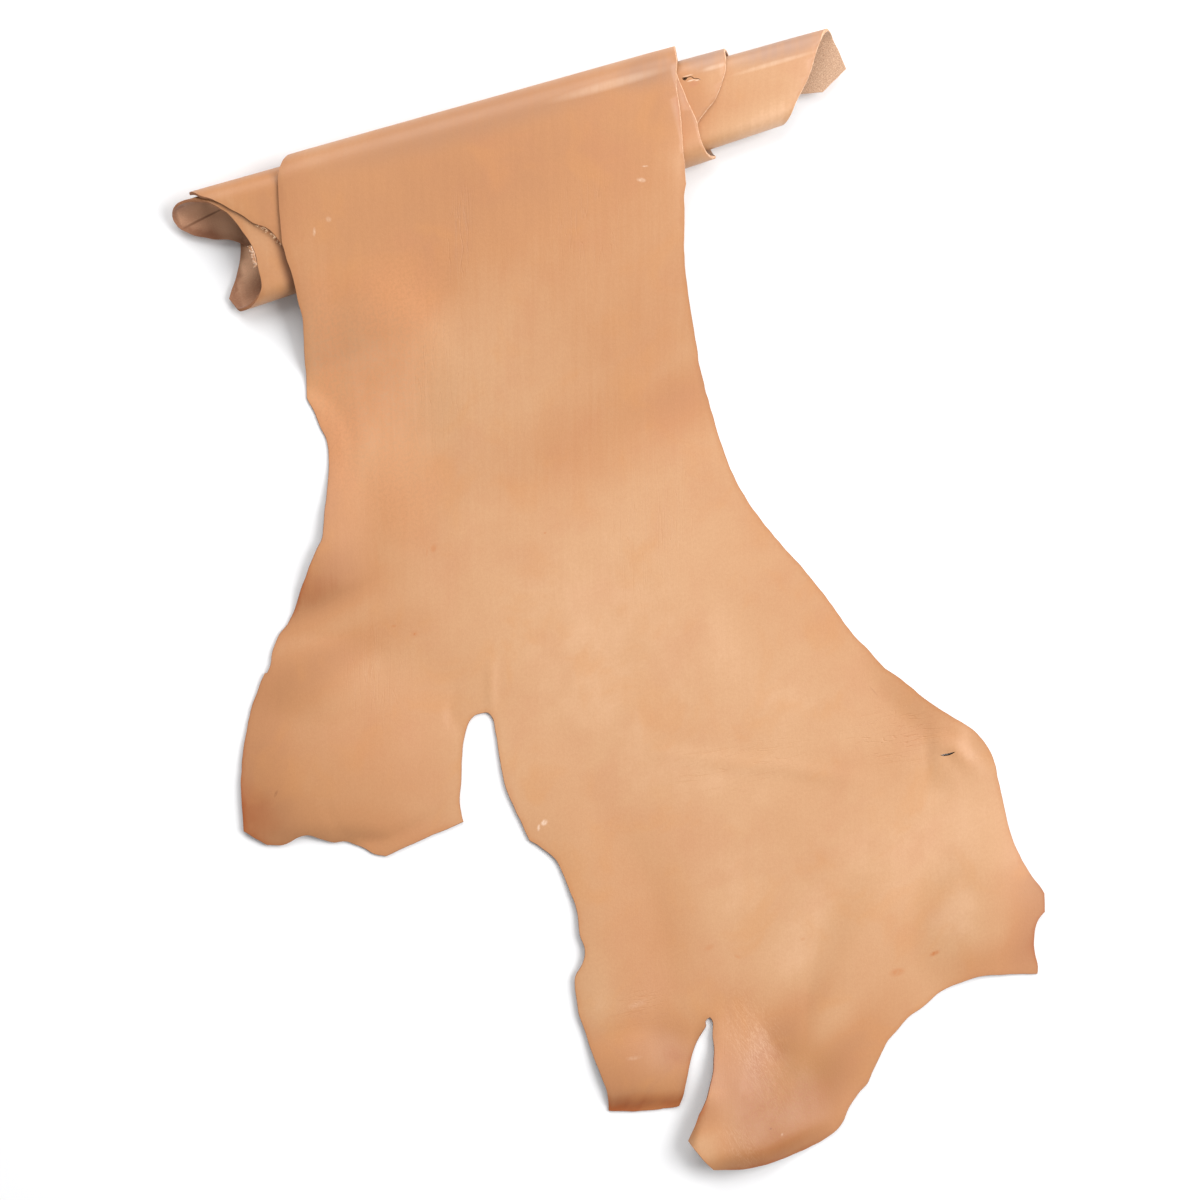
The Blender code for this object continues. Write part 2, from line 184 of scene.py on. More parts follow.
def hideSections():
    sides = []
    for nears, foot in zip(hide["near"], hide["foot"]):
        rolled, marks = rolledSection(nears)
        laid = laidSection(rolled[0], foot)
        rolledLengths = lengthsAlong(rolled)
        laidLengths = lengthsAlong(np.concatenate([rolled[:1], laid]))
        at = sorted(marks)
        turns = np.interp(rolledLengths, rolledLengths[at], [marks[number] for number in at])
        run = np.concatenate([-rolledLengths[::-1], laidLengths[1:]])
        sides.append((run, np.concatenate([rolled[::-1], laid]), turns[::-1]))
    (leftRun, left, leftTurn), (rightRun, right, rightTurn) = sides
    return {
        "run": (leftRun + rightRun) / 2,
        "left": left,
        "right": right,
        "turn": (leftTurn + rightTurn) / 2,
    }


section = hideSections()
heading = np.array((math.cos(hide["rollHeading"]), math.sin(hide["rollHeading"])))


def shareAcross(across):
    left, right = hide["sectionsAt"]
    return (across - left) / (right - left)


def fromTurn(turn, across):  # a place on the rolled end, as across and run
    count = len(section["turn"])
    return np.array((across, np.interp(-turn, -section["turn"], section["run"][:count])))


def fromAbove(x, y):  # a place on the laid part, as across and run
    across, down = x * heading[0] + y * heading[1], x * heading[1] - y * heading[0]
    share = shareAcross(across)
    first = len(section["turn"]) - 1 - fineness["lineSteps"]
    downs = section["left"][first:, 0] * (1 - share) + section["right"][first:, 0] * share
    return np.array((across, np.interp(down, downs, section["run"][first:])))


# What stands off the surface. The soft swells are the solid's own, the folds are finer ones.
# x and y of the middle, heading from x in degrees, half length, half width and height, in mm
relief = {
    "left edge over the waist": (-236, 40, 70, 80, 60, 8),
    "left lobe": (-208, -138, 35, 120, 86, 11),
    "right side of the first slot": (-58, -155, 115, 85, 54, 1.5),
    "middle lobe": (4, -300, 100, 150, 58, 4.6),
    "middle lobe's foot": (34, -380, 0, 70, 40, 6.5),
    "right tip": (312, -236, 70, 95, 60, 8),
    "shoulder edge": (272, -76, -40, 80, 36, 4.2),
    "left lobe's upper side": (-225, -62, 0, 60, 40, 3),
    "fold's crest by the right lobe": (205, -250, 62, 130, 55, 2.4),
}

# The flap's left edge comes down sooner than its sections say: the same oval, whose last number
# is the share of the height that goes, which stops at 1.
sag = {
    "oval": (-252, 118, 78, 158, 150, 1.3),
    "fromRun": (0, 65 * mm),  # where along the hide it starts and is whole
}

# The right lobe stands off the surface too, but only on its own side of the second slot.
rightLobe = {
    "swells": {
        "lobe": (68, -446, 62, 134, 122, 25),
        "foot": (140, -430, 25, 80, 50, 4),
    },
    "slotTop": (86, -337),
    "slotLean": 0.197,
    "blend": 9,
}

# Folds and creases: a line of x and y, its half width and its height, in mm. Each fades to its
# sides and, down to foldEnds of its height, to its ends.
foldEnds = 0.15
folds = {
    "valley by the right lobe": ((
        (230, -205), (206, -232), (186, -262), (164, -300), (146, -345), (132, -392), (122, -436),
    ), 24, -1.8),
    "crest by the right lobe": ((
        (252, -190), (226, -228), (206, -262), (190, -300), (176, -345),
    ), 30, 1.4),
    "valley from the waist": (((-266, -15), (-225, -12), (-180, -5), (-140, 4)), 24, -2.6),
    "over the first slot": (((-87, -46), (-87, -60), (-87, -76), (-86, -92)), 5, 0.9),
    "beside the first slot": (((-98, -50), (-106, -66), (-112, -84), (-116, -104)), 13, -1.0),
    "crease over the first slot": (((-124, -82), (-117, -97), (-109, -110)), 4, -0.5),
    "long ridge": (((40, -122), (90, -128), (150, -134), (215, -146)), 9, 0.6),
    "by the slit": (((266, -112), (282, -118), (296, -128), (303, -140)), 9, 1.3),
    "at the slit": (((262, -124), (278, -123), (296, -122)), 34, 2.8),
    "under the slit": (((283, -128), (289, -142), (296, -160)), 6, -0.5),
    "down the left lobe": (((-166, -232), (-190, -208), (-210, -182), (-220, -160)), 5, -0.6),
    "beside it": (((-178, -226), (-198, -202), (-214, -178)), 5, 0.5),
    "left lobe's foot": ((
        (-290, -222), (-250, -214), (-205, -212), (-165, -218), (-100, -190),
    ), 36, -9.0),
    "middle lobe's foot": (((-6, -418), (25, -418), (50, -417), (76, -412)), 22, -8.0),
    "right lobe's foot": (((62, -474), (92, -466), (135, -463), (165, -451), (192, -437)), 27, -11.0),
}

# How deep the leather's tan is over it, from 0, pale, to 1
tanDepth = {
    "everywhere": 0.12,
    "rim": 0.22,  # what handling adds at the edge
    "rimWidth": 5.5 * mm,
}

# What soft ovals like those above add to it, partly the leather's own uneven colour and partly painted
# shade (plus) and painted light (minus) over its slopes, lobes and roll: x, y, heading, half length, half
# width and amount
tanAndShadePatches = {
    "roll and top of the flap": (-90, 330, 15, 330, 130, 0.40),
    "right end of the roll": (150, 428, 15, 90, 75, -0.12),
    "right end of the flap's top": (60, 392, 15, 34, 46, 0.24),
    # painted light: paler on the near side of the roll's right end
    "near side of the roll's right end": (122, 366, 20, 95, 34, -0.38),
    "left end of the roll": (-275, 322, 15, 70, 60, 0.25),
    # painted light inside the roll's left end, where little light comes, and beside the flap's edge
    "inside of the left end": (-284, 276, 80, 36, 24, -0.26),
    "inside the loop": (-294, 304, 16, 34, 20, -0.24),
    "beside the flap": (-268, 280, 75, 30, 20, -0.16),
    "dark spot on the flap": (-145, 248, 15, 60, 45, 0.15),
    # painted light over the shade of the flap's sagging left side
    "flap's left side": (-178, 180, 64, 110, 62, -0.22),
    "left edge of the flap": (-224, 206, 86, 64, 26, -0.15),
    "left of the flap's middle": (-142, 128, 70, 90, 60, -0.08),
    "left edge over the waist": (-219, 110, 86, 95, 32, 0.4),
    "flap's middle right": (35, 220, 15, 120, 100, 0.18),
    "band over the foot": (0, 128, 22, 130, 55, 0.22),
    "band, right end": (78, 162, 25, 60, 40, 0.22),
    "band, left end": (-180, 62, 30, 95, 60, 0.25),
    # painted shade at the waist, where the edge turns away from the light
    "waist": (-240, 4, 30, 78, 42, 0.62),
    "right of the waist": (-190, 8, 20, 60, 26, 0.2),
    "left lobe": (-205, -130, 20, 130, 110, 0.21),
    "left lobe's upper side": (-240, -62, 20, 75, 36, 0.3),
    "under the waist": (-196, -32, 20, 80, 28, 0.24),
    # painted shade where the left lobe turns down to its outer edge and corner
    "left lobe's edge": (-290, -140, 85, 130, 60, 0.42),
    "left lobe's corner": (-270, -178, 0, 60, 46, 0.38),
    "sides of the first slot": (-92, -150, 90, 80, 44, -0.16),
    # painted shade on the left lobe's turned-down foot
    "left lobe's foot": (-190, -200, 0, 110, 45, 0.20),
    "middle": (0, -20, 30, 170, 120, -0.16),
    "under the middle": (34, -112, 0, 90, 70, -0.1),
    "right of the middle lobe": (108, -236, 80, 90, 62, -0.13),
    "left of the right tip": (290, -254, 30, 54, 40, -0.2),
    "middle right": (150, -80, -30, 150, 70, -0.12),
    "middle low": (90, -150, 0, 130, 50, -0.12),
    "across the shoulder": (220, -135, 0, 80, 30, 0.10),
    "lower right": (225, -200, 40, 120, 90, -0.12),
    "beside the valley": (156, -290, 72, 90, 36, -0.2),
    "under the right tip": (322, -236, 60, 50, 26, 0.16),
    "below the shoulder": (300, -178, 70, 90, 44, -0.12),
    "middle lobe": (40, -275, 100, 130, 60, 0.2),
    "middle lobe's right side": (57, -355, 100, 45, 20, 0.2),
    # painted light on the middle lobe's left slope, and painted shade down its end and turned-down foot
    "middle lobe's left side": (2, -320, 100, 50, 25, -0.15),
    "middle lobe's end": (40, -370, 0, 80, 56, 0.42),
    "middle lobe's foot": (36, -410, 0, 75, 26, 0.95),
    # painted shade over the lit slope of the right lobe's swell
    "right lobe": (130, -394, 62, 120, 90, 0.6),
    "right lobe's left corner": (84, -430, 62, 44, 30, -0.34),
    "right lobe's right side": (204, -366, 52, 90, 36, 0.28),
    "valley by the right lobe": (134, -362, 64, 90, 26, 0.16),
    "beside that valley": (176, -346, 60, 54, 26, -0.24),
    "right lobe's middle": (150, -408, 20, 60, 36, 0.24),
    "right lobe's top": (98, -326, 60, 34, 24, 0.14),
    # painted shade on the right lobe's turned-down foot
    "right lobe's foot": (140, -450, 20, 90, 35, 0.28),
    "shoulder": (258, -92, -40, 90, 40, 0.06),
    "left of the slit": (262, -132, 90, 40, 30, -0.14),
    # painted shade on the right tip, which turns away from the light
    "right tip": (354, -252, 80, 85, 36, 0.52),
    "right tip's side": (322, -290, 20, 70, 30, 0.25),
}

ripple = {  # the uneven lie of soft leather
    "sizes": (90 * mm, 34 * mm),
    "heights": (0.7 * mm, 0.22 * mm),
    "lowest": -0.3,  # of a height, so that hollows stay shallow
    "onRoll": 0.35,  # the share of it that the roll has
    "fromRun": (0, 80 * mm),
}

handCut = {  # a hand-cut edge is never quite smooth
    "height": 0.5 * mm,
    "size": 9 * mm,
}


def fade(value, gone, whole):  # from 0 at one place to 1 at another
    return np.clip((value - gone) / (whole - gone), 0, 1)


def closeTo(distance, reach):  # 1 at no distance, and 0 from its reach on
    return np.maximum(0, 1 - distance / reach) ** 2


def patchAmount(patch, x, y):  # full in the middle of an oval, and gone at its rim
    middleX, middleY, degrees, halfLength, halfWidth, amount = patch
    turn = math.radians(degrees)
    dx, dy = x - middleX * mm, y - middleY * mm
    along = (dx * math.cos(turn) + dy * math.sin(turn)) / (halfLength * mm)
    beside = (dy * math.cos(turn) - dx * math.sin(turn)) / (halfWidth * mm)
    return amount * np.maximum(0, 1 - along**2 - beside**2) ** 2


def foldAmount(fold, x, y):
    line, halfWidth, height = fold
    line = np.array(line) * mm
    steps = np.diff(line, axis=0)
    lengths = np.linalg.norm(steps, axis=1)
    nearest, place = np.full(np.shape(x), np.inf), np.zeros(np.shape(x))
    for start, step, length, before in zip(line, steps, lengths, np.cumsum(lengths) - lengths):
        share = ((x - start[0]) * step[0] + (y - start[1]) * step[1]) / length**2
        share = np.clip(share, 0, 1)
        away = np.hypot(x - start[0] - share * step[0], y - start[1] - share * step[1])
        closer = away < nearest
        nearest = np.where(closer, away, nearest)
        place = np.where(closer, (before + share * length) / lengths.sum(), place)
    ends = np.minimum(1, 4 * place * (1 - place) + foldEnds)
    return height * ends * np.maximum(0, 1 - (nearest / (halfWidth * mm)) ** 2) ** 2


def rightLobeLift(x, y):
    topX, topY = rightLobe["slotTop"]
    beside = x / mm - topX - rightLobe["slotLean"] * (y / mm - topY)
    blend = rightLobe["blend"] + np.maximum(0, y / mm - topY)
    share = np.clip(beside / blend / 2 + 0.5, 0, 1)
    swells = sum(patchAmount(swell, x, y) for swell in rightLobe["swells"].values())
    return swells * share**2 * (3 - 2 * share)


def placeOnHide(across, run):  # the middle of the leather, in the photograph's frame
    share = shareAcross(across)
    left = [np.interp(run, section["run"], section["left"][:, axis]) for axis in (0, 1)]
    right = [np.interp(run, section["run"], section["right"][:, axis]) for axis in (0, 1)]
    down, height = [a * (1 - share) + b * share for a, b in zip(left, right)]
    x = across * heading[0] + down * heading[1]
    y = across * heading[1] - down * heading[0]
    laid = np.where(run > 0, 1.0, 0.0)
    sagged = np.minimum(1, patchAmount(sag["oval"], x, y)) * fade(run, *sag["fromRun"])
    height = height - (height - hide["thickness"] / 2) * sagged
    lift = rightLobeLift(x, y) + sum(patchAmount(swell, x, y) for swell in relief.values())
    lift = np.maximum(0, lift + sum(foldAmount(fold, x, y) for fold in folds.values()))
    return np.stack([x, y, height + laid * mm * lift], axis=-1)


def fromSeen(x, y):  # a laid edge as the camera sees it, brought in for the height it stands at
    seen = np.array((x, y))
    spot = seen
    for _ in range(4):  # rounds, until it settles
        height = placeOnHide(*fromAbove(*spot))[2]
        spot = seen * (1 - height / camera["height"])
    return fromAbove(*spot)


# The edge of the hide, once around. Each stretch is smooth and ends in corners.
# "rolled" gives turn and across: turn 0 is the top of the roll, 0.25 its far side, 0.5 its
# underside, 0.75 its near side. "laid" gives x and y as seen from above. Lengths are in mm.
outline = {
    "flap to the first tip": ("rolled", (
        (0.00, -163), (0.06, -159), (0.125, -154), (0.25, -140), (0.50, -149), (0.75, -157),
        (0.93, -163.5), (0.975, -166.5), (1.008, -170.5), (1.03, -175.5), (1.046, -181.5),
        (1.07, -187.5), (1.095, -194), (1.146, -208), (1.175, -217), (1.20, -221), (1.245, -226),
    )),
    "first tip to the second": ("rolled", (
        (1.245, -226), (1.36, -208), (1.47, -199), (1.53, -203.5), (1.59, -211.5), (1.64, -220),
    )),
    "second tip": ("rolled", ((1.64, -220), (1.722, -214))),
    "second tip to the end": ("rolled", (
        (1.722, -214), (1.80, -198), (1.84, -191.5), (1.92, -189), (1.97, -188), (2.01, -190),
        (2.045, -193), (2.075, -195.5), (2.108, -199.5), (2.134, -205.5), (2.17, -214),
        (2.20, -222), (2.24, -232), (2.275, -240), (2.305, -244), (2.34, -245.5), (2.374, -243),
        (2.405, -235), (2.434, -222), (2.463, -204), (2.51, -191),
        (2.75, -186), (3.10, -184), (3.50, -180),
    )),
    "end of the hide": ("rolled", (
        (3.50, -180), (3.52, -60), (3.56, 100), (3.585, 266), (3.61, 280),
    )),
    "end corner": ("rolled", ((3.61, 280), (3.525, 303))),
    "third turn": ("rolled", (
        (3.525, 303), (3.40, 301), (3.25, 296), (3.11, 282), (3.00, 273), (2.86, 256), (2.75, 243),
        (2.50, 223), (2.25, 214), (2.11, 208), (2.00, 194), (1.92, 176), (1.75, 168), (1.50, 165),
        (1.25, 169), (1.09, 171), (0.95, 175), (0.82, 176), (0.73, 184),
    )),
    "first turn": ("rolled", ((0.73, 184), (0.50, 178), (0.25, 176))),
    "roll's right shoulder": ("rolled", ((0.25, 176), (0.15, 173), (0.06, 167), (-0.02, 165))),
    "right side of the flap": ("laid", (
        (68.9, 333), (67.8, 328), (67.8, 311), (67.4, 293), (68.4, 264), (71.2, 242), (74, 223.5),
        (76.8, 205.5), (79.6, 187.5), (84, 169.5), (89.6, 149.5), (96, 129), (103, 108),
        (116, 82.5), (140, 50.5), (160, 28), (182.5, 0), (199, -23), (217.5, -43), (228.5, -55),
    )),
    "shoulder": ("laid", (
        (228.5, -55), (237.5, -61), (252, -72.5), (268.5, -85), (282.5, -93.5), (295, -101),
        (303, -108), (310, -117.5), (314.5, -126.5), (318.5, -143), (322.5, -161), (326.5, -179.5),
        (331.5, -195), (339, -210.5), (346, -221.5), (352, -228.5), (355.5, -234.5),
    )),
    "right tip, upper corner": ("laid", ((355.5, -234.5), (356, -249.5))),
    "right tip, hollow": ("laid", (
        (356, -249.5), (351, -255), (348, -262.5), (347, -271), (348, -283.5), (350.5, -295.5),
        (350, -299),
    )),
    "bay under the right tip": ("laid", (
        (350, -299), (327.5, -299.5), (303, -301.5), (289, -306), (280, -309), (270, -315),
        (260, -324), (247.5, -333), (239, -342.5), (229, -354.5), (224, -365), (219, -375),
        (214, -386.5), (208, -392.5), (205, -396.5), (199.5, -405.5), (194.5, -417),
        (187, -426), (178, -432), (157.5, -441.5), (137.5, -449.5), (121, -454), (90.5, -455.5),
    )),
    "right lobe, lower corner": ("laid", ((90.5, -455.5), (80, -445.5), (71, -433))),
    "second slot, right side": ("laid", (
        (71, -433), (75, -424), (79, -413.5), (85.5, -397.5), (89.5, -381), (91, -367),
        (90, -346.5), (89.5, -336), (88, -334), (86, -335), (84.3, -337.3),
    )),
    "second slot, left side": ("laid", (
        (84.3, -337.3), (84.8, -340.3), (81.5, -346.5), (76, -357), (72, -371), (69.5, -383),
        (67, -395), (63.5, -405),
    )),
    "middle lobe, foot": ("laid", ((63.5, -405), (41.5, -408), (25, -409), (7, -408.5))),
    "middle lobe, left side": ("laid", (
        (7, -408.5), (6, -397.5), (5, -391), (1, -381), (-5.5, -365), (-11.5, -346.5),
        (-16, -334.5), (-18.5, -322.5), (-20.2, -308), (-19.8, -301), (-15, -293), (-12.5, -285.5),
        (-12.5, -280), (-16, -269), (-17.5, -257), (-19, -246.5), (-24.5, -232), (-29.5, -220),
        (-34.5, -209), (-43, -201), (-51, -195.5), (-56.5, -192),
    )),
    "first slot": ("laid", (
        (-56.5, -192), (-61, -182.5), (-66.5, -171), (-72.5, -157.5), (-76.5, -146.5),
        (-78.5, -136.5), (-81.5, -120), (-83.5, -105.5), (-86.5, -93.5), (-89.5, -90.5),
        (-94, -90.7), (-100, -92.5), (-104, -97), (-107, -104), (-109, -112), (-110.2, -126),
        (-111.2, -146.5), (-112, -166), (-111.2, -170), (-109, -177.5),
    )),
    "left lobe, foot on the right": ("laid", ((-109, -177.5), (-126.5, -185), (-171, -205))),
    "left lobe, foot on the left": ("laid", (
        (-171, -205), (-181, -203), (-189.5, -198.5), (-198, -194.5), (-202, -193), (-213, -193.5),
        (-225.5, -190.5), (-233.5, -188), (-241, -189.5), (-247, -193), (-253, -195.5),
        (-266, -196),
    )),
    "left lobe, corner": ("laid", ((-266, -196), (-285, -185))),
    "left lobe, outer side": ("laid", (
        (-285, -185), (-286.5, -163), (-287, -142.5), (-285.5, -122), (-282.5, -103), (-279, -87),
        (-273, -70), (-268, -58.5),
    )),
    "nick": ("laid", ((-268, -58.5), (-266.2, -58.2))),
    "waist": ("laid", (
        (-266.2, -58.2), (-263, -49.5), (-262.5, -45), (-260.5, -37.5), (-256, -27), (-250, -19),
        (-245.5, -10.5), (-242.5, -1.5), (-237, 15), (-231, 31), (-226.5, 41.5), (-223, 48),
        (-221.5, 59), (-220, 75), (-218, 90.5), (-217, 111), (-217.5, 122.5), (-219, 129),
        (-224, 139), (-227.5, 148), (-231, 155), (-234.5, 161.5),
    )),
    "left side of the flap": ("laid", (
        (-234.5, 161.5), (-235.5, 184), (-237, 205), (-238, 225), (-241.5, 239), (-245.5, 257),
        (-251, 273), (-254.5, 285.5),
    )),
}

holes = {  # right through, as rings of places like the outline's
    "slit near the shoulder": ("laid", (
        (271.8, -124.0), (275, -123.2), (279, -122.4), (282, -121.6), (284.2, -121.2),
        (282, -122.6), (279, -123.9), (275, -124.6),
    )),
    "tear in the roll's right end": ("rolled", (
        (2.1307, 173.3), (2.1300, 175.4), (2.1275, 177.2), (2.1275, 179.8), (2.1230, 181.2),
        (2.1148, 182.4), (2.1130, 183.9), (2.1080, 185.6), (2.0984, 187.4), (2.1065, 185.5),
        (2.1115, 183.8), (2.1132, 182.2), (2.1214, 180.9), (2.1259, 179.7), (2.1255, 177.3),
        (2.1215, 176.6), (2.1165, 174.9), (2.1220, 173.6),
    )),
}


def smoothStretch(points, spacing):  # through its points, without the last one
    steps = np.diff(points, axis=0)
    gaps = np.linalg.norm(steps, axis=1)
    ways = steps / gaps[:, None]
    inner = (ways[:-1] * gaps[1:, None] + ways[1:] * gaps[:-1, None]) / (gaps[:-1] + gaps[1:])[:, None]
    slopes = np.concatenate([ways[:1], inner, ways[-1:]])
    smooth = []
    for number, gap in enumerate(gaps):
        start, end = points[number], points[number + 1]
        leave, arrive = start + slopes[number] * gap / 3, end - slopes[number + 1] * gap / 3
        curve = bezierCurve(start, leave, arrive, end, max(1, round(gap / spacing)))
        smooth += [start, *curve[:-1]]
    return smooth


def placesOf(kind, rows):
    if kind == "rolled":
        return np.array([fromTurn(turn, across * mm) for turn, across in rows])
    return np.array([fromSeen(x * mm, y * mm) for x, y in rows])


def hideEdge():
    edge = []
    stretches = [(kind, placesOf(kind, rows)) for kind, rows in outline.values()]
    for (kind, points), (nextKind, nextPoints) in zip(stretches, stretches[1:] + stretches[:1]):
        edge += smoothStretch(points, fineness["edgeStep"])
        if kind != nextKind:
            edge += smoothStretch(np.array([points[-1], nextPoints[0]]), fineness["edgeStep"])
    return np.array(edge)


def squareTo(loop):  # the way straight out of a clockwise loop, at each of its points
    way = np.roll(loop, -1, axis=0) - np.roll(loop, 1, axis=0)
    way /= np.linalg.norm(way, axis=1)[:, None]
    return np.stack([-way[:, 1], way[:, 0]], axis=1)


def wavesOver(places, size, seed):  # smooth noise, from -1 to 1
    return np.array([noise.noise(Vector((x / size, y / size, seed))) for x, y in places])


def roughened(loop):
    waves = wavesOver(loop, handCut["size"], 0.5)
    return loop - squareTo(loop) * (waves * handCut["height"])[:, None]


def insideStops(loops, run):  # where a row of the grid enters and leaves the hide
    stops = []
    for loop in loops:
        after = np.roll(loop, -1, axis=0)
        crossing = (loop[:, 1] > run) != (after[:, 1] > run)
        a, b = loop[crossing], after[crossing]
        stops += list(a[:, 0] + (run - a[:, 1]) / (b[:, 1] - a[:, 1]) * (b[:, 0] - a[:, 0]))
    return np.sort(stops).reshape(-1, 2)


def treeOf(places):
    tree = kdtree.KDTree(len(places))
    for number, (x, y) in enumerate(places):
        tree.insert((x, y, 0), number)
    tree.balance()
    return tree


def distanceFrom(edge, plan):
    tree = treeOf(edge)
    return np.array([tree.find((x, y, 0))[2] for x, y in plan])


def gridInside(loops, rows, column, clearance):
    tree = treeOf(np.concatenate(loops))
    points = []
    for run in rows:
        for enter, leave in insideStops(loops, run):
            first, last = math.ceil(enter / column), math.floor(leave / column)
            for number in range(first, last + 1):
                spot = (number * column, run, 0)
                if tree.find(spot)[2] > clearance:
                    points.append(spot[:2])
    return points


def ringAround(ring, distance):  # the places just outside a hole
    after = np.roll(ring, -1, axis=0)
    area = np.sum(ring[:, 0] * after[:, 1] - ring[:, 1] * after[:, 0])
    return [tuple(spot) for spot in ring - squareTo(ring) * distance * np.sign(area)]


def flatHide():
    edge = roughened(hideEdge())
    rims = [placesOf(kind, ring) for kind, ring in holes.values()]
    loops = [edge, *rims]
    around = [spot for rim in rims for spot in ringAround(rim, fineness["holeClear"])]
    low, high = edge[:, 1].min(), edge[:, 1].max()
    rolledRows = np.arange(low, 0, fineness["rolledRow"])
    laidRows = np.arange(0, high, fineness["laidCell"])
    inner = gridInside(loops, rolledRows, fineness["rolledColumn"], fineness["rolledClear"])
    inner += gridInside(loops, laidRows, fineness["laidCell"], fineness["laidClear"]) + around
    rings, count = [], 0
    for loop in loops:
        rings.append(list(range(count, count + len(loop))))
        count += len(loop)
    spots = [Vector(spot) for spot in np.concatenate([*loops, inner])]
    flat, _, faces, _, _, within = delaunay_2d_cdt(spots, [], rings, 1, 1e-7, True)
    # A face is kept where it is in the outline's ring alone, and turned so that grain is up.
    kept = [face[::-1] for face, ringNumbers in zip(faces, within) if ringNumbers == [0]]
    used, corners = np.unique(kept, return_inverse=True)
    return np.array(flat)[used], corners.reshape(-1, 3)


flat, faces = flatHide()
print("flat hide:", len(flat), "points,", len(faces), "faces")


# The leather's two skins and its cut edge

skin = {
    "cutSlant": 0.35 * mm,  # how far the grain stands back from the outline
    "rolledSlant": 0.8 * mm,  # the same, at the right end of the roll
    "rolledAcross": (90 * mm, 150 * mm),  # where that starts and is whole, across
    "rolledRun": (20 * mm, 0),  # and along the hide
    "holeSlant": 0.1 * mm,
    "drop": 0.95 * mm,  # how far an edge on the roll sinks onto the turn under it
    "dropWidth": 16 * mm,
    "dropRun": (78 * mm, 18 * mm),
    "cutProfile": ((0.5, 1.0), (0.32, 0.3), (0.05, 0.0), (-0.3, 0.1), (-0.5, 0.35)),
    "sharpFrom": math.radians(42),
}

grainSlot, fleshSlot, cutSlot, slitSlot = range(4)  # the order of the leather's materials


def vertexNormals(points, triangles):
    a, b, c = (points[triangles[:, number]] for number in range(3))
    square = np.cross(b - a, c - a)
    total = np.zeros_like(points)
    for number in range(3):
        np.add.at(total, triangles[:, number], square)
    return total / np.linalg.norm(total, axis=1)[:, None]


def openLoops(triangles, count):  # the outline and the holes, with the leather on their left
    sides = np.concatenate([triangles[:, (0, 1)], triangles[:, (1, 2)], triangles[:, (2, 0)]])
    keys, back = sides[:, 0] * count + sides[:, 1], sides[:, 1] * count + sides[:, 0]
    following = dict(sides[~np.isin(keys, back)].tolist())
    loops = []
    while following:
        start, after = following.popitem()
        loop = [start]
        while after != start:
            loop.append(after)
            after = following.pop(after)
        loops.append(np.array(loop))
    return loops


def middleSurface(flat):
    points = placeOnHide(flat[:, 0], flat[:, 1])
    share = ripple["onRoll"] + (1 - ripple["onRoll"]) * fade(flat[:, 1], *ripple["fromRun"])
    for size, height in zip(ripple["sizes"], ripple["heights"]):
        waves = np.maximum(wavesOver(flat, size, 3.7), ripple["lowest"])
        points[:, 2] += waves * height * share
    return points


def tanAndShadeAt(points, fromEdge):
    depth = tanDepth["everywhere"] + tanDepth["rim"] * closeTo(fromEdge, tanDepth["rimWidth"])
    for patch in tanAndShadePatches.values():
        depth += patchAmount(patch, points[:, 0], points[:, 1])
    return depth


def outerSlant(across, run):
    share = fade(across, *skin["rolledAcross"]) * fade(run, *skin["rolledRun"])
    return skin["cutSlant"] + (skin["rolledSlant"] - skin["cutSlant"]) * share


def wallRows(middle, normals, loop, slant):  # of points, from the grain's edge to the flesh's
    way = middle[np.roll(loop, -1)] - middle[np.roll(loop, 1)]
    outward = np.cross(way, normals[loop])
    outward /= np.linalg.norm(outward, axis=1)[:, None]
    rows = []
    for level, inset in skin["cutProfile"]:
        row = middle[loop] + normals[loop] * (level * hide["thickness"])
        rows.append(row - outward * (inset * slant)[:, None])
    return rows


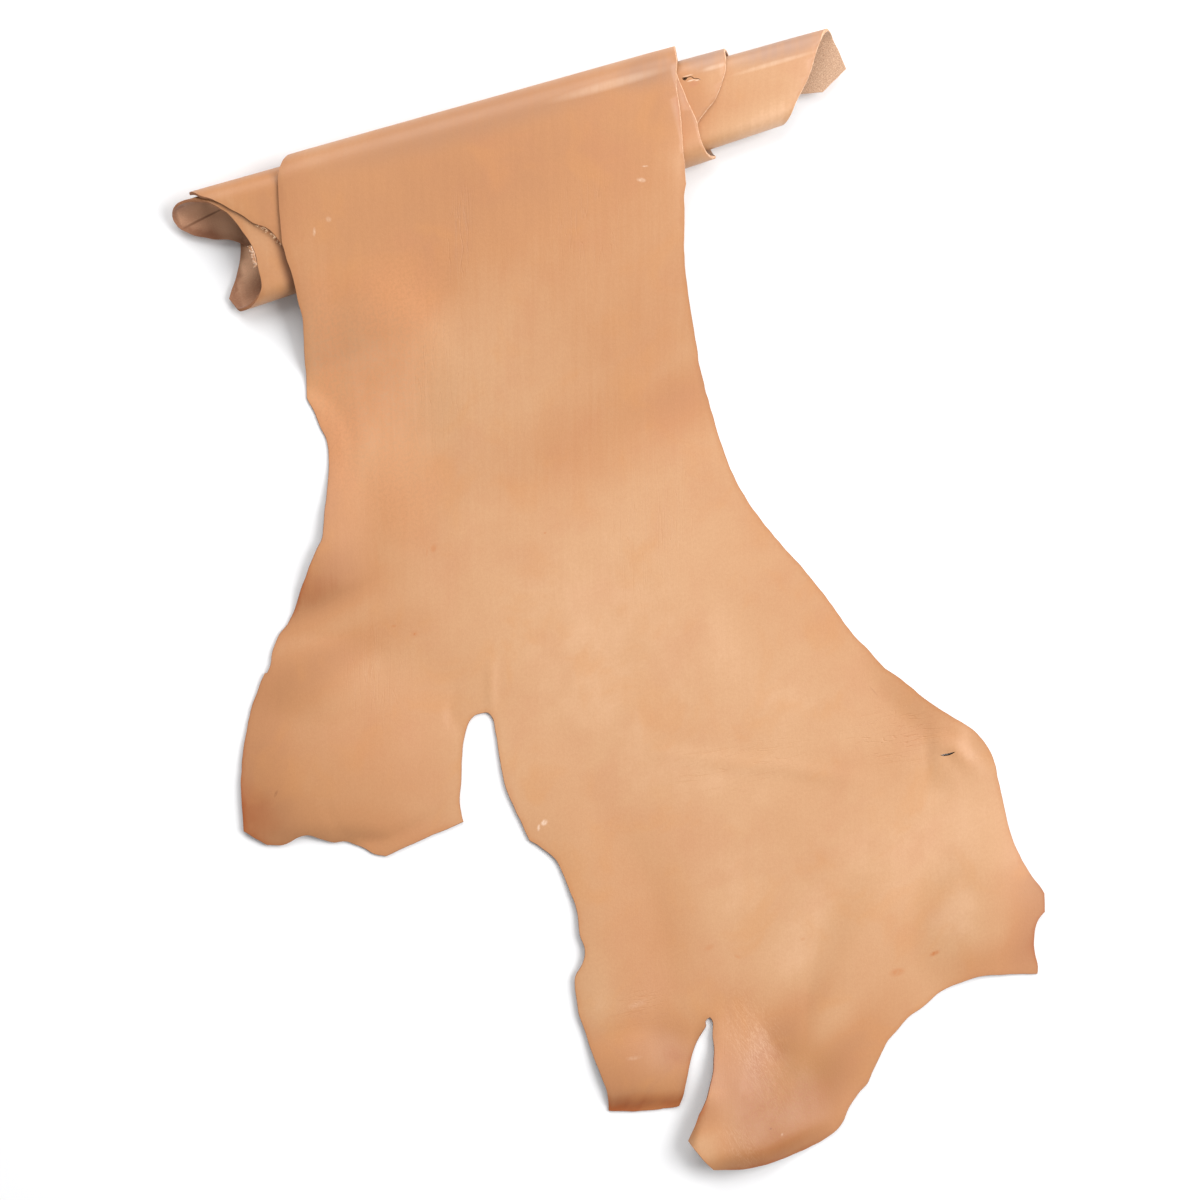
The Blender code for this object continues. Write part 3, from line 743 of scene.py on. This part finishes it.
def leatherMesh(name, flat, triangles):
    middle = middleSurface(flat)
    normals = vertexNormals(middle, triangles)
    loops = sorted(openLoops(triangles, len(flat)), key=len)
    outer = loops[-1]
    near = closeTo(distanceFrom(flat[outer], flat), skin["dropWidth"])
    near *= fade(flat[:, 1], *skin["dropRun"]) * np.maximum(0, normals[:, 2])
    middle -= normals * (near * skin["drop"])[:, None]
    normals = vertexNormals(middle, triangles)
    half = hide["thickness"] / 2
    grain, flesh = middle + normals * half, middle - normals * half
    count = len(flat)
    points, plan = [grain, flesh], [flat, flat]
    faces = [*triangles.tolist(), *(triangles[:, ::-1] + count).tolist()]
    slots = [grainSlot] * len(triangles) + [fleshSlot] * len(triangles)
    used = 2 * count
    for loop in loops:
        slot, slant = slitSlot, np.full(len(loop), skin["holeSlant"])
        if loop is outer:
            slot, slant = cutSlot, outerSlant(*flat[loop].T)
        rows = wallRows(middle, normals, loop, slant)
        grain[loop], flesh[loop] = rows[0], rows[-1]
        numbers = [loop]
        for row in rows[1:-1]:
            points.append(row)
            plan.append(flat[loop])
            numbers.append(np.arange(used, used + len(loop)))
            used += len(loop)
        numbers.append(loop + count)
        for upper, lower in zip(numbers, numbers[1:]):
            ring = np.stack([np.roll(upper, -1), upper, lower, np.roll(lower, -1)], axis=1)
            faces += ring.tolist()
            slots += [slot] * len(ring)
    points, plan = np.concatenate(points), np.concatenate(plan)
    mesh = bpy.data.meshes.new(name)
    mesh.from_pydata(points, [], faces)
    mesh.polygons.foreach_set("material_index", slots)
    corners = np.empty(len(mesh.loops), dtype=np.int32)
    mesh.loops.foreach_get("vertex_index", corners)
    mesh.uv_layers.new(name="hidePlan").uv.foreach_set("vector", plan[corners].ravel())
    # the leather's colour depth per point, with the painted shade and painted light of the patches
    tanAndShadeDepths = tanAndShadeAt(points, distanceFrom(flat[outer], plan))
    mesh.attributes.new("tanAndShade", "FLOAT", "POINT").data.foreach_set("value", tanAndShadeDepths)
    mesh.shade_smooth()
    mesh.set_sharp_from_angle(angle=skin["sharpFrom"])
    return mesh


def linked(name, data):  # a new object in the scene
    made = bpy.data.objects.new(name, data)
    bpy.context.scene.collection.objects.link(made)
    return made


belly = leatherMesh("rolledBelly", flat, faces)
spots = np.empty(len(belly.vertices) * 3)
belly.vertices.foreach_get("co", spots)
spots = spots.reshape(-1, 3)
low, high = spots.min(axis=0), spots.max(axis=0)
boxMiddle = np.array(cadBox[0] + cadBox[1]) / 2
toFrame = Vector((*(boxMiddle - (low + high) / 2)[:2], -low[2]))
belly.transform(Matrix.Translation(toFrame))
leather = linked("rolledBelly", belly)
moved = [round(part / mm, 1) for part in toFrame]
print("leather:", len(belly.polygons), "faces, moved by", moved, "mm")


# Shader maths as Python

class Wire:  # one socket of a tree's nodes
    def __init__(self, tree, socket=None):
        self.tree = tree
        self.socket = socket

    def node(self, kind, settings=None, inputs=None, output=0):
        made = self.tree.nodes.new(kind)
        for name, value in (settings or {}).items():
            if name == "stops":
                stops = made.color_ramp.elements
                for number, (position, shade) in enumerate(value):
                    stop = stops[number] if number < len(stops) else stops.new(position)
                    stop.position, stop.color = position, shade
            else:
                setattr(made, name, value)
        for name, value in (inputs or {}).items():
            if isinstance(value, Wire):
                self.tree.links.new(value.socket, made.inputs[name])
            else:
                made.inputs[name].default_value = value
        return Wire(self.tree, made.outputs[output])

    def maths(self, operation, *values):
        inputs = dict(enumerate(values or [self]))
        return self.node("ShaderNodeMath", {"operation": operation}, inputs)

    def __add__(self, other):
        return self.maths("ADD", self, other)

    def __radd__(self, other):
        return self.maths("ADD", other, self)

    def __sub__(self, other):
        return self.maths("SUBTRACT", self, other)

    def __rsub__(self, other):
        return self.maths("SUBTRACT", other, self)

    def __mul__(self, other):
        return self.maths("MULTIPLY", self, other)

    def __rmul__(self, other):
        return self.maths("MULTIPLY", other, self)

    def ramp(self, low, high, start=0.0, end=1.0):  # smooth, and flat outside low and high
        settings = {"interpolation_type": "SMOOTHSTEP"}
        return self.node("ShaderNodeMapRange", settings, {0: self, 1: low, 2: high, 3: start, 4: end})

    def noise(self, scale, detail=3.0, roughness=0.55, distortion=0.0):
        sizes = {"Scale": scale, "Detail": detail, "Roughness": roughness, "Distortion": distortion}
        return self.node("ShaderNodeTexNoise", {}, {"Vector": self, **sizes})

    def stretched(self, scales, detail, roughness, distortion):  # noise with a scale each way
        place = self.node("ShaderNodeVectorMath", {"operation": "MULTIPLY"}, {0: self, 1: scales})
        return place.noise(1.0, detail, roughness, distortion)

    def cells(self, scale):
        return self.node("ShaderNodeTexVoronoi", {"feature": "F1"}, {"Vector": self, "Scale": scale})

    def turned(self, angle):
        inputs = {"Vector": self, "Rotation": (0, 0, angle)}
        return self.node("ShaderNodeMapping", {"vector_type": "POINT"}, inputs)

    def oval(self, x, y, angle, halfLength, halfWidth, amount):  # halves in mm, and gone at its rim
        inside = self.node("ShaderNodeMapping", {"vector_type": "TEXTURE"}, {
            "Vector": self, "Location": (x, y, 0), "Rotation": (0, 0, angle),
            "Scale": (halfLength * mm, halfWidth * mm, 1),
        })
        length = inside.node("ShaderNodeVectorMath", {"operation": "LENGTH"}, {0: inside}, 1)
        return length.ramp(0.2, 1.0, amount, 0.0)

    def lines(self, width):  # thin wavy lines, where this noise passes its middle
        return (self - 0.5).maths("ABSOLUTE").ramp(0.0, width, 1.0, 0.0)

    def between(self, low, high):  # from one colour, at 0, to another, at 1
        inputs = {0: self, 6: colour(*low), 7: colour(*high)}
        return self.node("ShaderNodeMix", {"data_type": "RGBA"}, inputs, 2)

    def tint(self, amount, shade):  # a colour, partly changed to another
        inputs = {0: amount, 6: self, 7: colour(*shade)}
        return self.node("ShaderNodeMix", {"data_type": "RGBA"}, inputs, 2)

    def bumped(self, strength, distance, beneath=None):
        inputs = {"Height": self, "Strength": strength, "Distance": distance}
        if beneath:
            inputs["Normal"] = beneath
        return self.node("ShaderNodeBump", {}, inputs)

    def fromPlan(self):  # the place on the hide, laid flat
        return self.node("ShaderNodeUVMap", {"uv_map": "hidePlan"})

    def fromTanAndShade(self):
        return self.node("ShaderNodeAttribute", {"attribute_name": "tanAndShade"}, output=2)

    def fromObject(self):
        return self.node("ShaderNodeTexCoord", output="Object")


def colour(red, green, blue):  # from the usual 0 to 255 steps to linear light
    steps = [value / 255 for value in (red, green, blue)]
    return (*[((step + 0.055) / 1.055) ** 2.4 if step > 0.04 else step / 12.92 for step in steps], 1.0)


def newMaterial(name, constants):
    material = bpy.data.materials.new(name)
    material.use_nodes = True
    shader = material.node_tree.nodes["Principled BSDF"]
    for socket, value in constants.items():
        shader.inputs[socket].default_value = value
    return material, Wire(material.node_tree)


def plugged(material, wires):
    shader = material.node_tree.nodes["Principled BSDF"]
    for socket, wire in wires.items():
        wire.tree.links.new(wire.socket, shader.inputs[socket])
    return material


grainLook = {
    "tanAndShadeDepths": (  # the colour at each depth of the tan
        (-0.3, (214, 173, 139)), (0.0, (192, 147, 108)), (0.35, (181, 128, 86)),
        (0.65, (169, 117, 78)), (1.0, (149, 79, 37)),
    ),
    "rosy": (180, 120, 84),
    "golden": (190, 132, 80),
    "pore": (150, 96, 60),
    "amounts": {"rosy": 0.24, "golden": 0.3, "pore": 0.10},
    "pale": (226, 186, 152),
    "roughness": 0.44,
    "noises": {  # scale, detail, roughness and distortion
        "clouds": (8.0, 3.0, 0.5), "patches": (38.0, 4.0, 0.6), "rosy": (15.0, 3.0, 0.6, 0.3),
        "golden": (19.0, 3.0, 0.6, 0.5), "speckle": (420.0, 3.0, 0.6), "pores": (1250.0, 2.0, 0.5),
    },
    "stretched": {  # the same, with a scale each way
        "streaks": ((230.0, 14.0, 1.0), 3.0, 0.6, 0.4),
        "down": ((150.0, 11.0, 1.0), 2.0, 0.45, 1.2),
        "beside": ((13.0, 170.0, 1.0), 2.0, 0.45, 1.2),
    },
    "pebbles": 760.0,
    "lines": 0.022,  # width of the wrinkles, as a share of their noise
    "slanted": {"turn": math.radians(-58), "noise": ((60.0, 420.0, 1.0), 3.0, 0.6, 1.4), "lines": 0.06},
    "mottled": 0.05,  # what clouds and patches each add to the tan
    "creased": 0.16,  # what wrinkles add
    "streaked": (0.045, 0.012),  # what streaks take, on the roll and on the laid part
    "streakedFrom": (150 * mm, 350 * mm),  # run, where the one passes into the other
    "foldBump": (0.3, 0.4 * mm),  # strength and distance
    "poreBump": (0.25, 0.18 * mm),
}

# Marks in the grain, with painted light over the flap's left side among them: x and y as seen from above,
# heading in degrees, half length, half width and depth, in mm, under the colour that each leaves
grainMarks = {
    (226, 200, 178): (  # scuffs
        (-44.6, -178, 20, 3.8, 3.2, 0.75), (-49, -182, 80, 3.4, 1.8, 0.6),
        (-228.5, 294.5, 85, 4.0, 1.7, 0.35), (-217, 304.5, 0, 3.0, 2.6, 0.25),
        (33, 336, -15, 5.0, 2.3, 0.45), (36, 347, 0, 3.4, 0.9, 0.45),
        (145.3, -427.5, 70, 1.7, 1.3, 0.5), (30, -323, 8, 11.0, 3.5, 0.12),
        (26.8, -366.5, -3, 9.0, 2.2, 0.12),
    ),
    (176, 104, 52): (  # spots
        (-133, 41.3, 75, 4.6, 3.6, 0.4), (-138.4, 38, 85, 4.6, 0.9, 0.3),
        (-44, 53.6, 0, 1.7, 1.3, 0.5), (-148.4, -27.2, 0, 5.0, 4.4, 0.25),
        (-148.4, -27.2, 30, 1.6, 1.2, 0.45), (-164.8, -20.8, 0, 3.0, 1.5, 0.5),
        (110, -285, -30, 5.0, 2.0, 0.3), (87.4, -277.8, 10, 6.0, 3.4, 0.28),
        (162.4, -271, 0, 3.0, 1.8, 0.35), (267.7, -282.4, 15, 6.0, 2.6, 0.8),
        (237.5, -297.6, 0, 9.0, 4.4, 0.5),
    ),
    (204, 139, 94): (  # painted light, paler and warmer, over the shade of the flap's left side
        (-176, 180, 72, 118, 66, 0.62), (-150, 92, 75, 60, 44, 0.3), (-222, 202, 84, 66, 26, 0.5),
    ),
    (158, 110, 62): ((146, -400, 30, 74, 52, 0.6),),  # the right lobe's middle
    (112, 66, 42): (  # nicks
        (-258.9, -154.9, 60, 3.8, 1.7, 0.4), (136.3, -422.9, 0, 1.6, 0.9, 0.85),
        (250.5, -67.5, -35, 4.2, 0.8, 0.35), (219, -73, -50, 8, 0.7, 0.25),
    ),
}

# Wrinkles, as ovals in the same way
wrinkles = {
    "down the hide": (
        (-112, 291, 84, 52, 15, 1.0), (-128, 180, 86, 70, 36, 0.7), (-10, 300, 86, 60, 40, 0.6),
        (-180, -60, 80, 60, 40, 0.5), (40, 60, 84, 90, 60, 0.4), (118, -340, 70, 90, 60, 0.2),
    ),
    "pale, over the right lobe": ((128, -362, -66, 78, 30, 0.22), (112, -436, -50, 34, 20, 0.2)),
    "beside the slit": (
        (238, -108, -6, 62, 30, 1.0), (30, -330, 0, 40, 40, 0.5), (110, -130, 0, 90, 34, 0.5),
    ),
}

# Marks on the roll, among them painted shade and painted highlights: turn, across, half length, half
# width and amount, in mm
rollBands = {
    (160, 117, 88): (  # painted shade on the outer turn's far side
        (0.138, 10, 200, 22, 0.56), (0.138, 150, 40, 22, 0.7),
    ),
    (167, 130, 108): (  # painted shade, pinker, on the far side of the turns inside it
        (2.2, 197, 30, 19, 0.95), (3.19, 256, 64, 18, 0.95),
    ),
    (240, 212, 188): (  # painted highlights along the ridges, and the pale lips of the tear
        (0.127, 118, 60, 5.0, 0.22), (2.137, 200, 14, 2.8, 0.24), (3.108, 247, 44, 3.2, 0.2),
        (2.1095, 180, 5, 0.9, 0.55), (2.1035, 184.5, 3.4, 0.9, 0.55), (2.133, 178, 6, 0.9, 0.35),
    ),
    (176, 112, 84): ((2.092, 181, 6, 3.6, 0.4),),  # painted shade under the tear's lip
    (112, 62, 38): ((1.87, -165, 9, 34, 0.6),),  # painted shade on the roll's near side, under the flap's left edge
}


def turnedPlan(spot):  # plan coordinates turned until the hide's upright direction is y
    angle = hide["rollHeading"]
    across, run = spot
    return (
        float(across * math.cos(angle) + run * math.sin(angle)),
        float(run * math.cos(angle) - across * math.sin(angle)),
    )


def markMasks(upright, marks):
    masks = []
    for x, y, degrees, halfLength, halfWidth, amount in marks:
        place = turnedPlan(fromSeen(x * mm, y * mm))
        masks.append(upright.oval(*place, -math.radians(degrees), halfLength, halfWidth, amount))
    return sum(masks[1:], masks[0])


def bandMasks(plan, bands):
    masks = []
    for turn, across, halfLength, halfWidth, amount in bands:
        place = fromTurn(turn, across * mm).tolist()
        masks.append(plan.oval(*place, 0.0, halfLength, halfWidth, amount))
    return sum(masks[1:], masks[0])


def grainMaterial():
    look, amounts = grainLook, grainLook["amounts"]
    material, start = newMaterial("vegetable tanned grain", {"IOR": 1.45})
    plan = start.fromPlan()
    run = plan.node("ShaderNodeSeparateXYZ", {}, {0: plan}, 1)
    upright = plan.turned(-hide["rollHeading"])
    fine = {name: plan.noise(*sizes) for name, sizes in look["noises"].items()}
    long = {name: upright.stretched(*sizes) for name, sizes in look["stretched"].items()}
    patches, speckle, streaks = fine["patches"].ramp(0.35, 0.65), fine["speckle"], long["streaks"]
    wearAndPaintedLightSpeckle = speckle.ramp(0.35, 0.6, 0.45, 1.0)
    creased = long["down"].lines(look["lines"]) * markMasks(upright, wrinkles["down the hide"])
    beside = long["beside"].lines(look["lines"])
    creased = creased + beside * markMasks(upright, wrinkles["beside the slit"])
    slant = look["slanted"]
    slanted = upright.turned(slant["turn"]).stretched(*slant["noise"]).lines(slant["lines"])
    slanted = slanted * markMasks(upright, wrinkles["pale, over the right lobe"])

    # the leather's own colour depth, with the painted shade and painted light of the patches
    tanAndShade = start.fromTanAndShade() + fine["clouds"].ramp(0.36, 0.64) * look["mottled"]
    tanAndShade = tanAndShade + patches * look["mottled"] - look["mottled"]
    streaked = run.ramp(*look["streakedFrom"], *look["streaked"])
    tanAndShade = tanAndShade - streaks.ramp(0.36, 0.64) * streaked + creased * look["creased"]
    palest, darkest = look["tanAndShadeDepths"][0][0], look["tanAndShadeDepths"][-1][0]
    span = darkest - palest
    stops = [((depth - palest) / span, colour(*shade)) for depth, shade in look["tanAndShadeDepths"]]
    tone = tanAndShade.node("ShaderNodeValToRGB", {"stops": stops}, {0: (tanAndShade - palest) * (1 / span)})
    tone = tone.tint(fine["rosy"].ramp(0.45, 0.7) * amounts["rosy"], look["rosy"])
    tone = tone.tint(fine["golden"].ramp(0.5, 0.7, 0.0, amounts["golden"]), look["golden"])
    tone = tone.tint(speckle.ramp(0.3, 0.7, amounts["pore"], 0.0), look["pore"])
    # marks on the roll, among them painted shade and painted highlights
    for shade, bands in rollBands.items():
        tone = tone.tint(bandMasks(plan, bands) * streaks.ramp(0.3, 0.6, 0.75, 1.0), shade)
    tone = tone.tint(slanted * wearAndPaintedLightSpeckle, look["pale"])
    # the grain's marks, and the painted light of the warm patches, broken up by speckle
    for shade, marks in grainMarks.items():
        tone = tone.tint(markMasks(upright, marks) * wearAndPaintedLightSpeckle, shade)

    gloss = patches * 0.05 + speckle * 0.06 + (look["roughness"] - 0.05)
    folded = (streaks * 0.3 - creased).bumped(*look["foldBump"])
    pebbled = plan.cells(look["pebbles"]) * 0.7 + fine["pores"] * 0.3
    bump = pebbled.bumped(*look["poreBump"], folded)
    return plugged(material, {"Base Color": tone, "Roughness": gloss, "Normal": bump})


fleshLook = {
    "right": (186, 151, 124),  # in the light, at the roll's right end
    "pale": (250, 198, 160),  # painted light: paler inside the left end, where little light comes
    "deep": (148, 104, 79),
    "speck": (118, 80, 58),
    "shade": (104, 64, 45),
    "fibre": (224, 192, 164),
    "lit": ((2.36, -203, 17, 28, 0.62), (2.315, -217, 20, 15, 0.4)),  # as the marks on the roll
    "crease": ((2.384, -240), (2.358, -209)),  # turn and across of its ends, in mm
    "creaseMark": (30, 1.3, 0.8),  # half length, half width and amount
    "shadeMark": (46, 18, 0.74),
    "shadeMoved": (2, -16),  # across and along the hide, from the crease
    "byRightEnd": (-150 * mm, 150 * mm),  # across, from the left end's colours to the right end's
    "bump": (0.6, 0.35 * mm),
    "roughness": 0.92,
}


def fleshMaterial():
    look = fleshLook
    material, start = newMaterial("flesh side", {
        "IOR": 1.4, "Sheen Weight": 0.25, "Sheen Roughness": 0.5, "Specular IOR Level": 0.2,
    })
    plan = start.fromPlan()
    across = plan.node("ShaderNodeSeparateXYZ", {}, {0: plan}, 0)
    patches = plan.noise(45.0, 2.0, 0.5).ramp(0.3, 0.7)
    nap = plan.stretched((560.0, 720.0, 1.0), 3.0, 0.75, 0.3)
    strands = plan.noise(1100.0, 2.0, 0.7, 0.3)
    # this depth also carries the patches' painted light inside the roll's left end
    depth = start.fromTanAndShade().ramp(-0.05, 0.32) + patches * 0.05 - 0.02
    right = across.ramp(*look["byRightEnd"])
    hairy = right * 0.8 + 0.2
    tone = depth.between(look["pale"], look["deep"]).tint(right, look["right"])
    tone = tone.tint(nap.ramp(0.5, 0.66, 0.0, 0.6) * hairy, look["fibre"])
    tone = tone.tint(strands.ramp(0.32, 0.5, 0.75, 0.0) * hairy, look["speck"])
    (startAcross, startRun), (endAcross, endRun) = placesOf("rolled", look["crease"]).tolist()
    angle = math.atan2(endRun - startRun, endAcross - startAcross)
    x, y = (startAcross + endAcross) / 2, (startRun + endRun) / 2
    movedX, movedY = look["shadeMoved"]
    shade = plan.oval(x + movedX * mm, y + movedY * mm, angle, *look["shadeMark"])
    crease = plan.oval(x, y, angle, *look["creaseMark"])
    tone = tone.tint(shade, look["shade"]).tint(bandMasks(plan, look["lit"]), look["pale"])
    # painted shade along the crease, which also dents the bump
    tone = tone.tint(crease, look["speck"])
    rough = nap * 0.1 + (look["roughness"] - 0.05)
    bump = (nap * 0.6 + strands * 0.4 - crease).bumped(*look["bump"])
    return plugged(material, {"Base Color": tone, "Roughness": rough, "Normal": bump})


cutLook = {
    "middle": (222, 186, 156),
    "deep": (186, 140, 106),
    "darkerCut": (150, 96, 62),  # darker, away from the roll's right end
    "rightEnd": (250 * mm, -330 * mm, 0.0, 190, 700, 1.0),  # an oval on the plan, over that end
    # painted shade: the slit and tear walls are coloured as dark as the shade inside them
    "slit": (46, 32, 28),
    "deepSlitShade": (26, 18, 16),
    "roughness": 0.8,
    "slitRoughness": 0.9,
    "bump": (0.7, 0.4 * mm),
    "slitBump": (0.5, 0.3 * mm),
}


def cutTone(layers, strands, pale, deep):
    return layers.ramp(0.35, 0.65).between(deep, pale).tint(strands.ramp(0.25, 0.5, 0.4, 0.0), deep)


def cutMaterial():
    look = cutLook
    material, start = newMaterial("cut edge", {"IOR": 1.4, "Specular IOR Level": 0.3})
    place = start.fromObject()
    layers = place.stretched((240.0, 240.0, 1500.0), 4.0, 0.7, 0.6)
    strands = place.noise(1400.0, 3.0, 0.7)
    rightEnd = start.fromPlan().oval(*look["rightEnd"]).ramp(0.05, 0.15)
    darkerCut = (1 - rightEnd) * strands.ramp(0.3, 0.7, 0.75, 1.0)
    tone = cutTone(layers, strands, look["middle"], look["deep"]).tint(darkerCut, look["darkerCut"])
    rough = strands * 0.1 + (look["roughness"] - 0.05)
    bump = (layers * 0.5 + strands * 0.5).bumped(*look["bump"])
    return plugged(material, {"Base Color": tone, "Roughness": rough, "Normal": bump})


def slitMaterial():  # the walls of the slit and the tear, painted dark as the shade inside them
    look = cutLook
    material, start = newMaterial("slit wall", {"IOR": 1.4, "Specular IOR Level": 0.1})
    strands = start.fromObject().noise(1400.0, 3.0, 0.7)
    tone = cutTone(strands, strands, look["slit"], look["deepSlitShade"])
    rough = strands * 0.1 + (look["slitRoughness"] - 0.05)
    bump = strands.bumped(*look["slitBump"])
    return plugged(material, {"Base Color": tone, "Roughness": rough, "Normal": bump})


for make in (grainMaterial, fleshMaterial, cutMaterial, slitMaterial):
    belly.materials.append(make())
print("materials:", [material.name for material in belly.materials])


# Loose fibres where an edge was torn: one tree of nodes, given the edge it follows

frays = {
    "frayedEdge": {
        "edge": ((0.965, -165.6), (1.0, -169.5), (1.03, -175.5), (1.042, -179.5)),
        "lift": 0.3 * mm,
        "sizes": {
            "Count": 90, "Length": 3.0 * mm, "Thickness": 0.15 * mm, "Spread": 1.0, "Seed": 4,
        },
        "tones": ((232, 198, 162), (128, 82, 56)),
    },
    "tornTufts": {
        "edge": ((1.925, -189.1), (1.95, -188.6), (1.97, -188.3), (1.99, -189.0)),
        "lift": 0.1 * mm,
        "sizes": {
            "Count": 110, "Length": 3.6 * mm, "Thickness": 0.2 * mm, "Spread": 0.8, "Seed": 9,
        },
        "tones": ((236, 206, 180), (214, 160, 118)),
    },
}

fibre = {  # one fibre, a unit long: its bend and end, its pieces and sides, and its shortest
    "bend": (0.55, 0.18, 0.02),
    "end": (1, -0.12, -0.1),
    "pieces": 5,
    "sides": 4,
    "shortest": 0.3,
    "rise": 0.1,  # how much the edge's outward way turns up
}


def fibreTree():
    tree = bpy.data.node_groups.new("fibres along an edge", "GeometryNodeTree")
    sockets = {
        "Geometry": "Geometry", "Count": "Int", "Length": "Float", "Thickness": "Float",
        "Spread": "Float", "Seed": "Int", "Material": "Material",
    }
    for name, kind in sockets.items():
        tree.interface.new_socket(name, in_out="INPUT", socket_type="NodeSocket" + kind)
    tree.interface.new_socket("Geometry", in_out="OUTPUT", socket_type="NodeSocketGeometry")
    given, result = tree.nodes.new("NodeGroupInput"), tree.nodes.new("NodeGroupOutput")
    take = {name: Wire(tree, given.outputs[name]) for name in sockets}
    node = Wire(tree).node

    line = node("GeometryNodeMeshToCurve", {}, {"Mesh": take["Geometry"]})
    points = node("GeometryNodeResampleCurve", {"mode": "COUNT"}, {"Curve": line, "Count": take["Count"]})
    bent = node("GeometryNodeCurveQuadraticBezier", {}, {
        "Resolution": fibre["pieces"], "Start": (0, 0, 0), "Middle": fibre["bend"], "End": fibre["end"],
    })
    radius = take["Length"].maths("DIVIDE", take["Thickness"], take["Length"])
    ring = node("GeometryNodeCurvePrimitiveCircle", {}, {"Resolution": fibre["sides"], "Radius": radius})
    hair = node("GeometryNodeCurveToMesh", {}, {"Curve": bent, "Profile Curve": ring, "Fill Caps": True})
    outward = node("GeometryNodeInputNamedAttribute", {"data_type": "FLOAT_VECTOR"}, {"Name": "outward"})
    shake = node("FunctionNodeRandomValue", {"data_type": "FLOAT_VECTOR"}, {
        "Min": (-1, -1, -1), "Max": (1, 1, 1), "Seed": take["Seed"],
    })
    shake = node("ShaderNodeVectorMath", {"operation": "SCALE"}, {0: shake, "Scale": take["Spread"]})
    way = node("ShaderNodeVectorMath", {"operation": "ADD"}, {0: outward, 1: shake})
    turned = node("FunctionNodeAlignRotationToVector", {"axis": "X"}, {"Vector": way})
    sizes = node("FunctionNodeRandomValue", {"data_type": "FLOAT"}, {
        2: fibre["shortest"], 3: 1.0, "Seed": take["Seed"],
    }, 1)
    spread = node("GeometryNodeInstanceOnPoints", {}, {
        "Points": points, "Instance": hair, "Rotation": turned, "Scale": sizes * take["Length"],
    })
    plain = node("GeometryNodeRealizeInstances", {}, {"Geometry": spread})
    done = node("GeometryNodeSetMaterial", {}, {"Geometry": plain, "Material": take["Material"]})
    tree.links.new(done.socket, result.inputs["Geometry"])
    return tree


def fibreMaterial(name, tones):
    material, start = newMaterial(name, {"IOR": 1.4, "Specular IOR Level": 0.2})
    place = start.fromObject()
    tone = place.noise(420.0, 2.0, 0.6).ramp(0.46, 0.54).between(*tones)
    return plugged(material, {"Base Color": tone, "Roughness": place.noise(900.0) * 0.1 + 0.8})


def makeFibres(name, fray, tree):
    plan = placesOf("rolled", fray["edge"])
    spots = placeOnHide(plan[:, 0], plan[:, 1]) + np.array(toFrame)
    spots[:, 2] += fray["lift"]
    way = np.gradient(spots, axis=0)
    way /= np.linalg.norm(way, axis=1)[:, None]
    outward = np.stack([-way[:, 1], way[:, 0], np.full(len(way), fibre["rise"])], axis=1)
    mesh = bpy.data.meshes.new(name)
    mesh.from_pydata(spots, [(number, number + 1) for number in range(len(spots) - 1)], [])
    mesh.attributes.new("outward", "FLOAT_VECTOR", "POINT").data.foreach_set("vector", outward.ravel())
    piece = linked(name, mesh)
    modifier = piece.modifiers.new("fibres", "NODES")
    modifier.node_group = tree
    values = {**fray["sizes"], "Material": fibreMaterial(name + " fibre", fray["tones"])}
    for socket in tree.interface.items_tree:
        if socket.in_out == "INPUT" and socket.name in values:
            modifier[socket.identifier] = values[socket.name]
    seen = piece.evaluated_get(bpy.context.evaluated_depsgraph_get())
    finished = bpy.data.meshes.new_from_object(seen)
    piece.modifiers.clear()
    piece.data = finished
    return piece


tree = fibreTree()
fibres = [makeFibres(name, fray, tree) for name, fray in frays.items()]
print("fibres:", {piece.name: len(piece.data.polygons) for piece in fibres})


# Floor, light and camera

studio = {
    "floor": ((233, 233, 234), (235, 235, 236)),
    "floorSize": 60.0,
    "dome": 0.42,
    "softboxes": {  # place, size and watts
        "right": ((1.9, 0.4, 2.2), 1.8, 89.0),
        "top": ((-0.3, 2.0, 2.0), 2.4, 58.0),
    },
}


def makeFloor():
    half = studio["floorSize"] / 2
    mesh = bpy.data.meshes.new("floor")
    corners = [(-half, -half, 0), (half, -half, 0), (half, half, 0), (-half, half, 0)]
    mesh.from_pydata(corners, [], [(0, 1, 2, 3)])
    material, start = newMaterial("pale paper", {"Roughness": 0.9, "Specular IOR Level": 0.1})
    paper = start.fromObject().noise(900.0, 2.0, 0.5).between(*studio["floor"])
    mesh.materials.append(plugged(material, {"Base Color": paper}))
    linked("floor", mesh)


def makeLight():
    world = bpy.data.worlds.new("studio")
    world.use_nodes = True
    dome = world.node_tree.nodes["Background"]
    dome.inputs["Color"].default_value = (1.0, 1.0, 1.0, 1.0)
    dome.inputs["Strength"].default_value = studio["dome"]
    bpy.context.scene.world = world
    for name, (place, size, watts) in studio["softboxes"].items():
        lamp = bpy.data.lights.new(name + " softbox", "AREA")
        lamp.energy = watts
        lamp.size = size
        stand = linked(name + " softbox", lamp)
        stand.location = place
        stand.rotation_euler = Vector(place).to_track_quat("Z", "Y").to_euler()


def makeCamera():
    lens = bpy.data.cameras.new("camera")
    lens.lens = camera["lens"]
    lens.sensor_width = camera["sensor"]
    eye = linked("camera", lens)
    eye.location = (toFrame.x, toFrame.y, camera["height"])
    bpy.context.scene.camera = eye


makeFloor()
makeLight()
makeCamera()
bpy.context.scene.view_settings.view_transform = "Standard"
print("stage: floor, light and camera")


# What the library's frame needs to know

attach(leather, "root")
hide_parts("leather_belly")
for piece in fibres:
    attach(piece, "root")
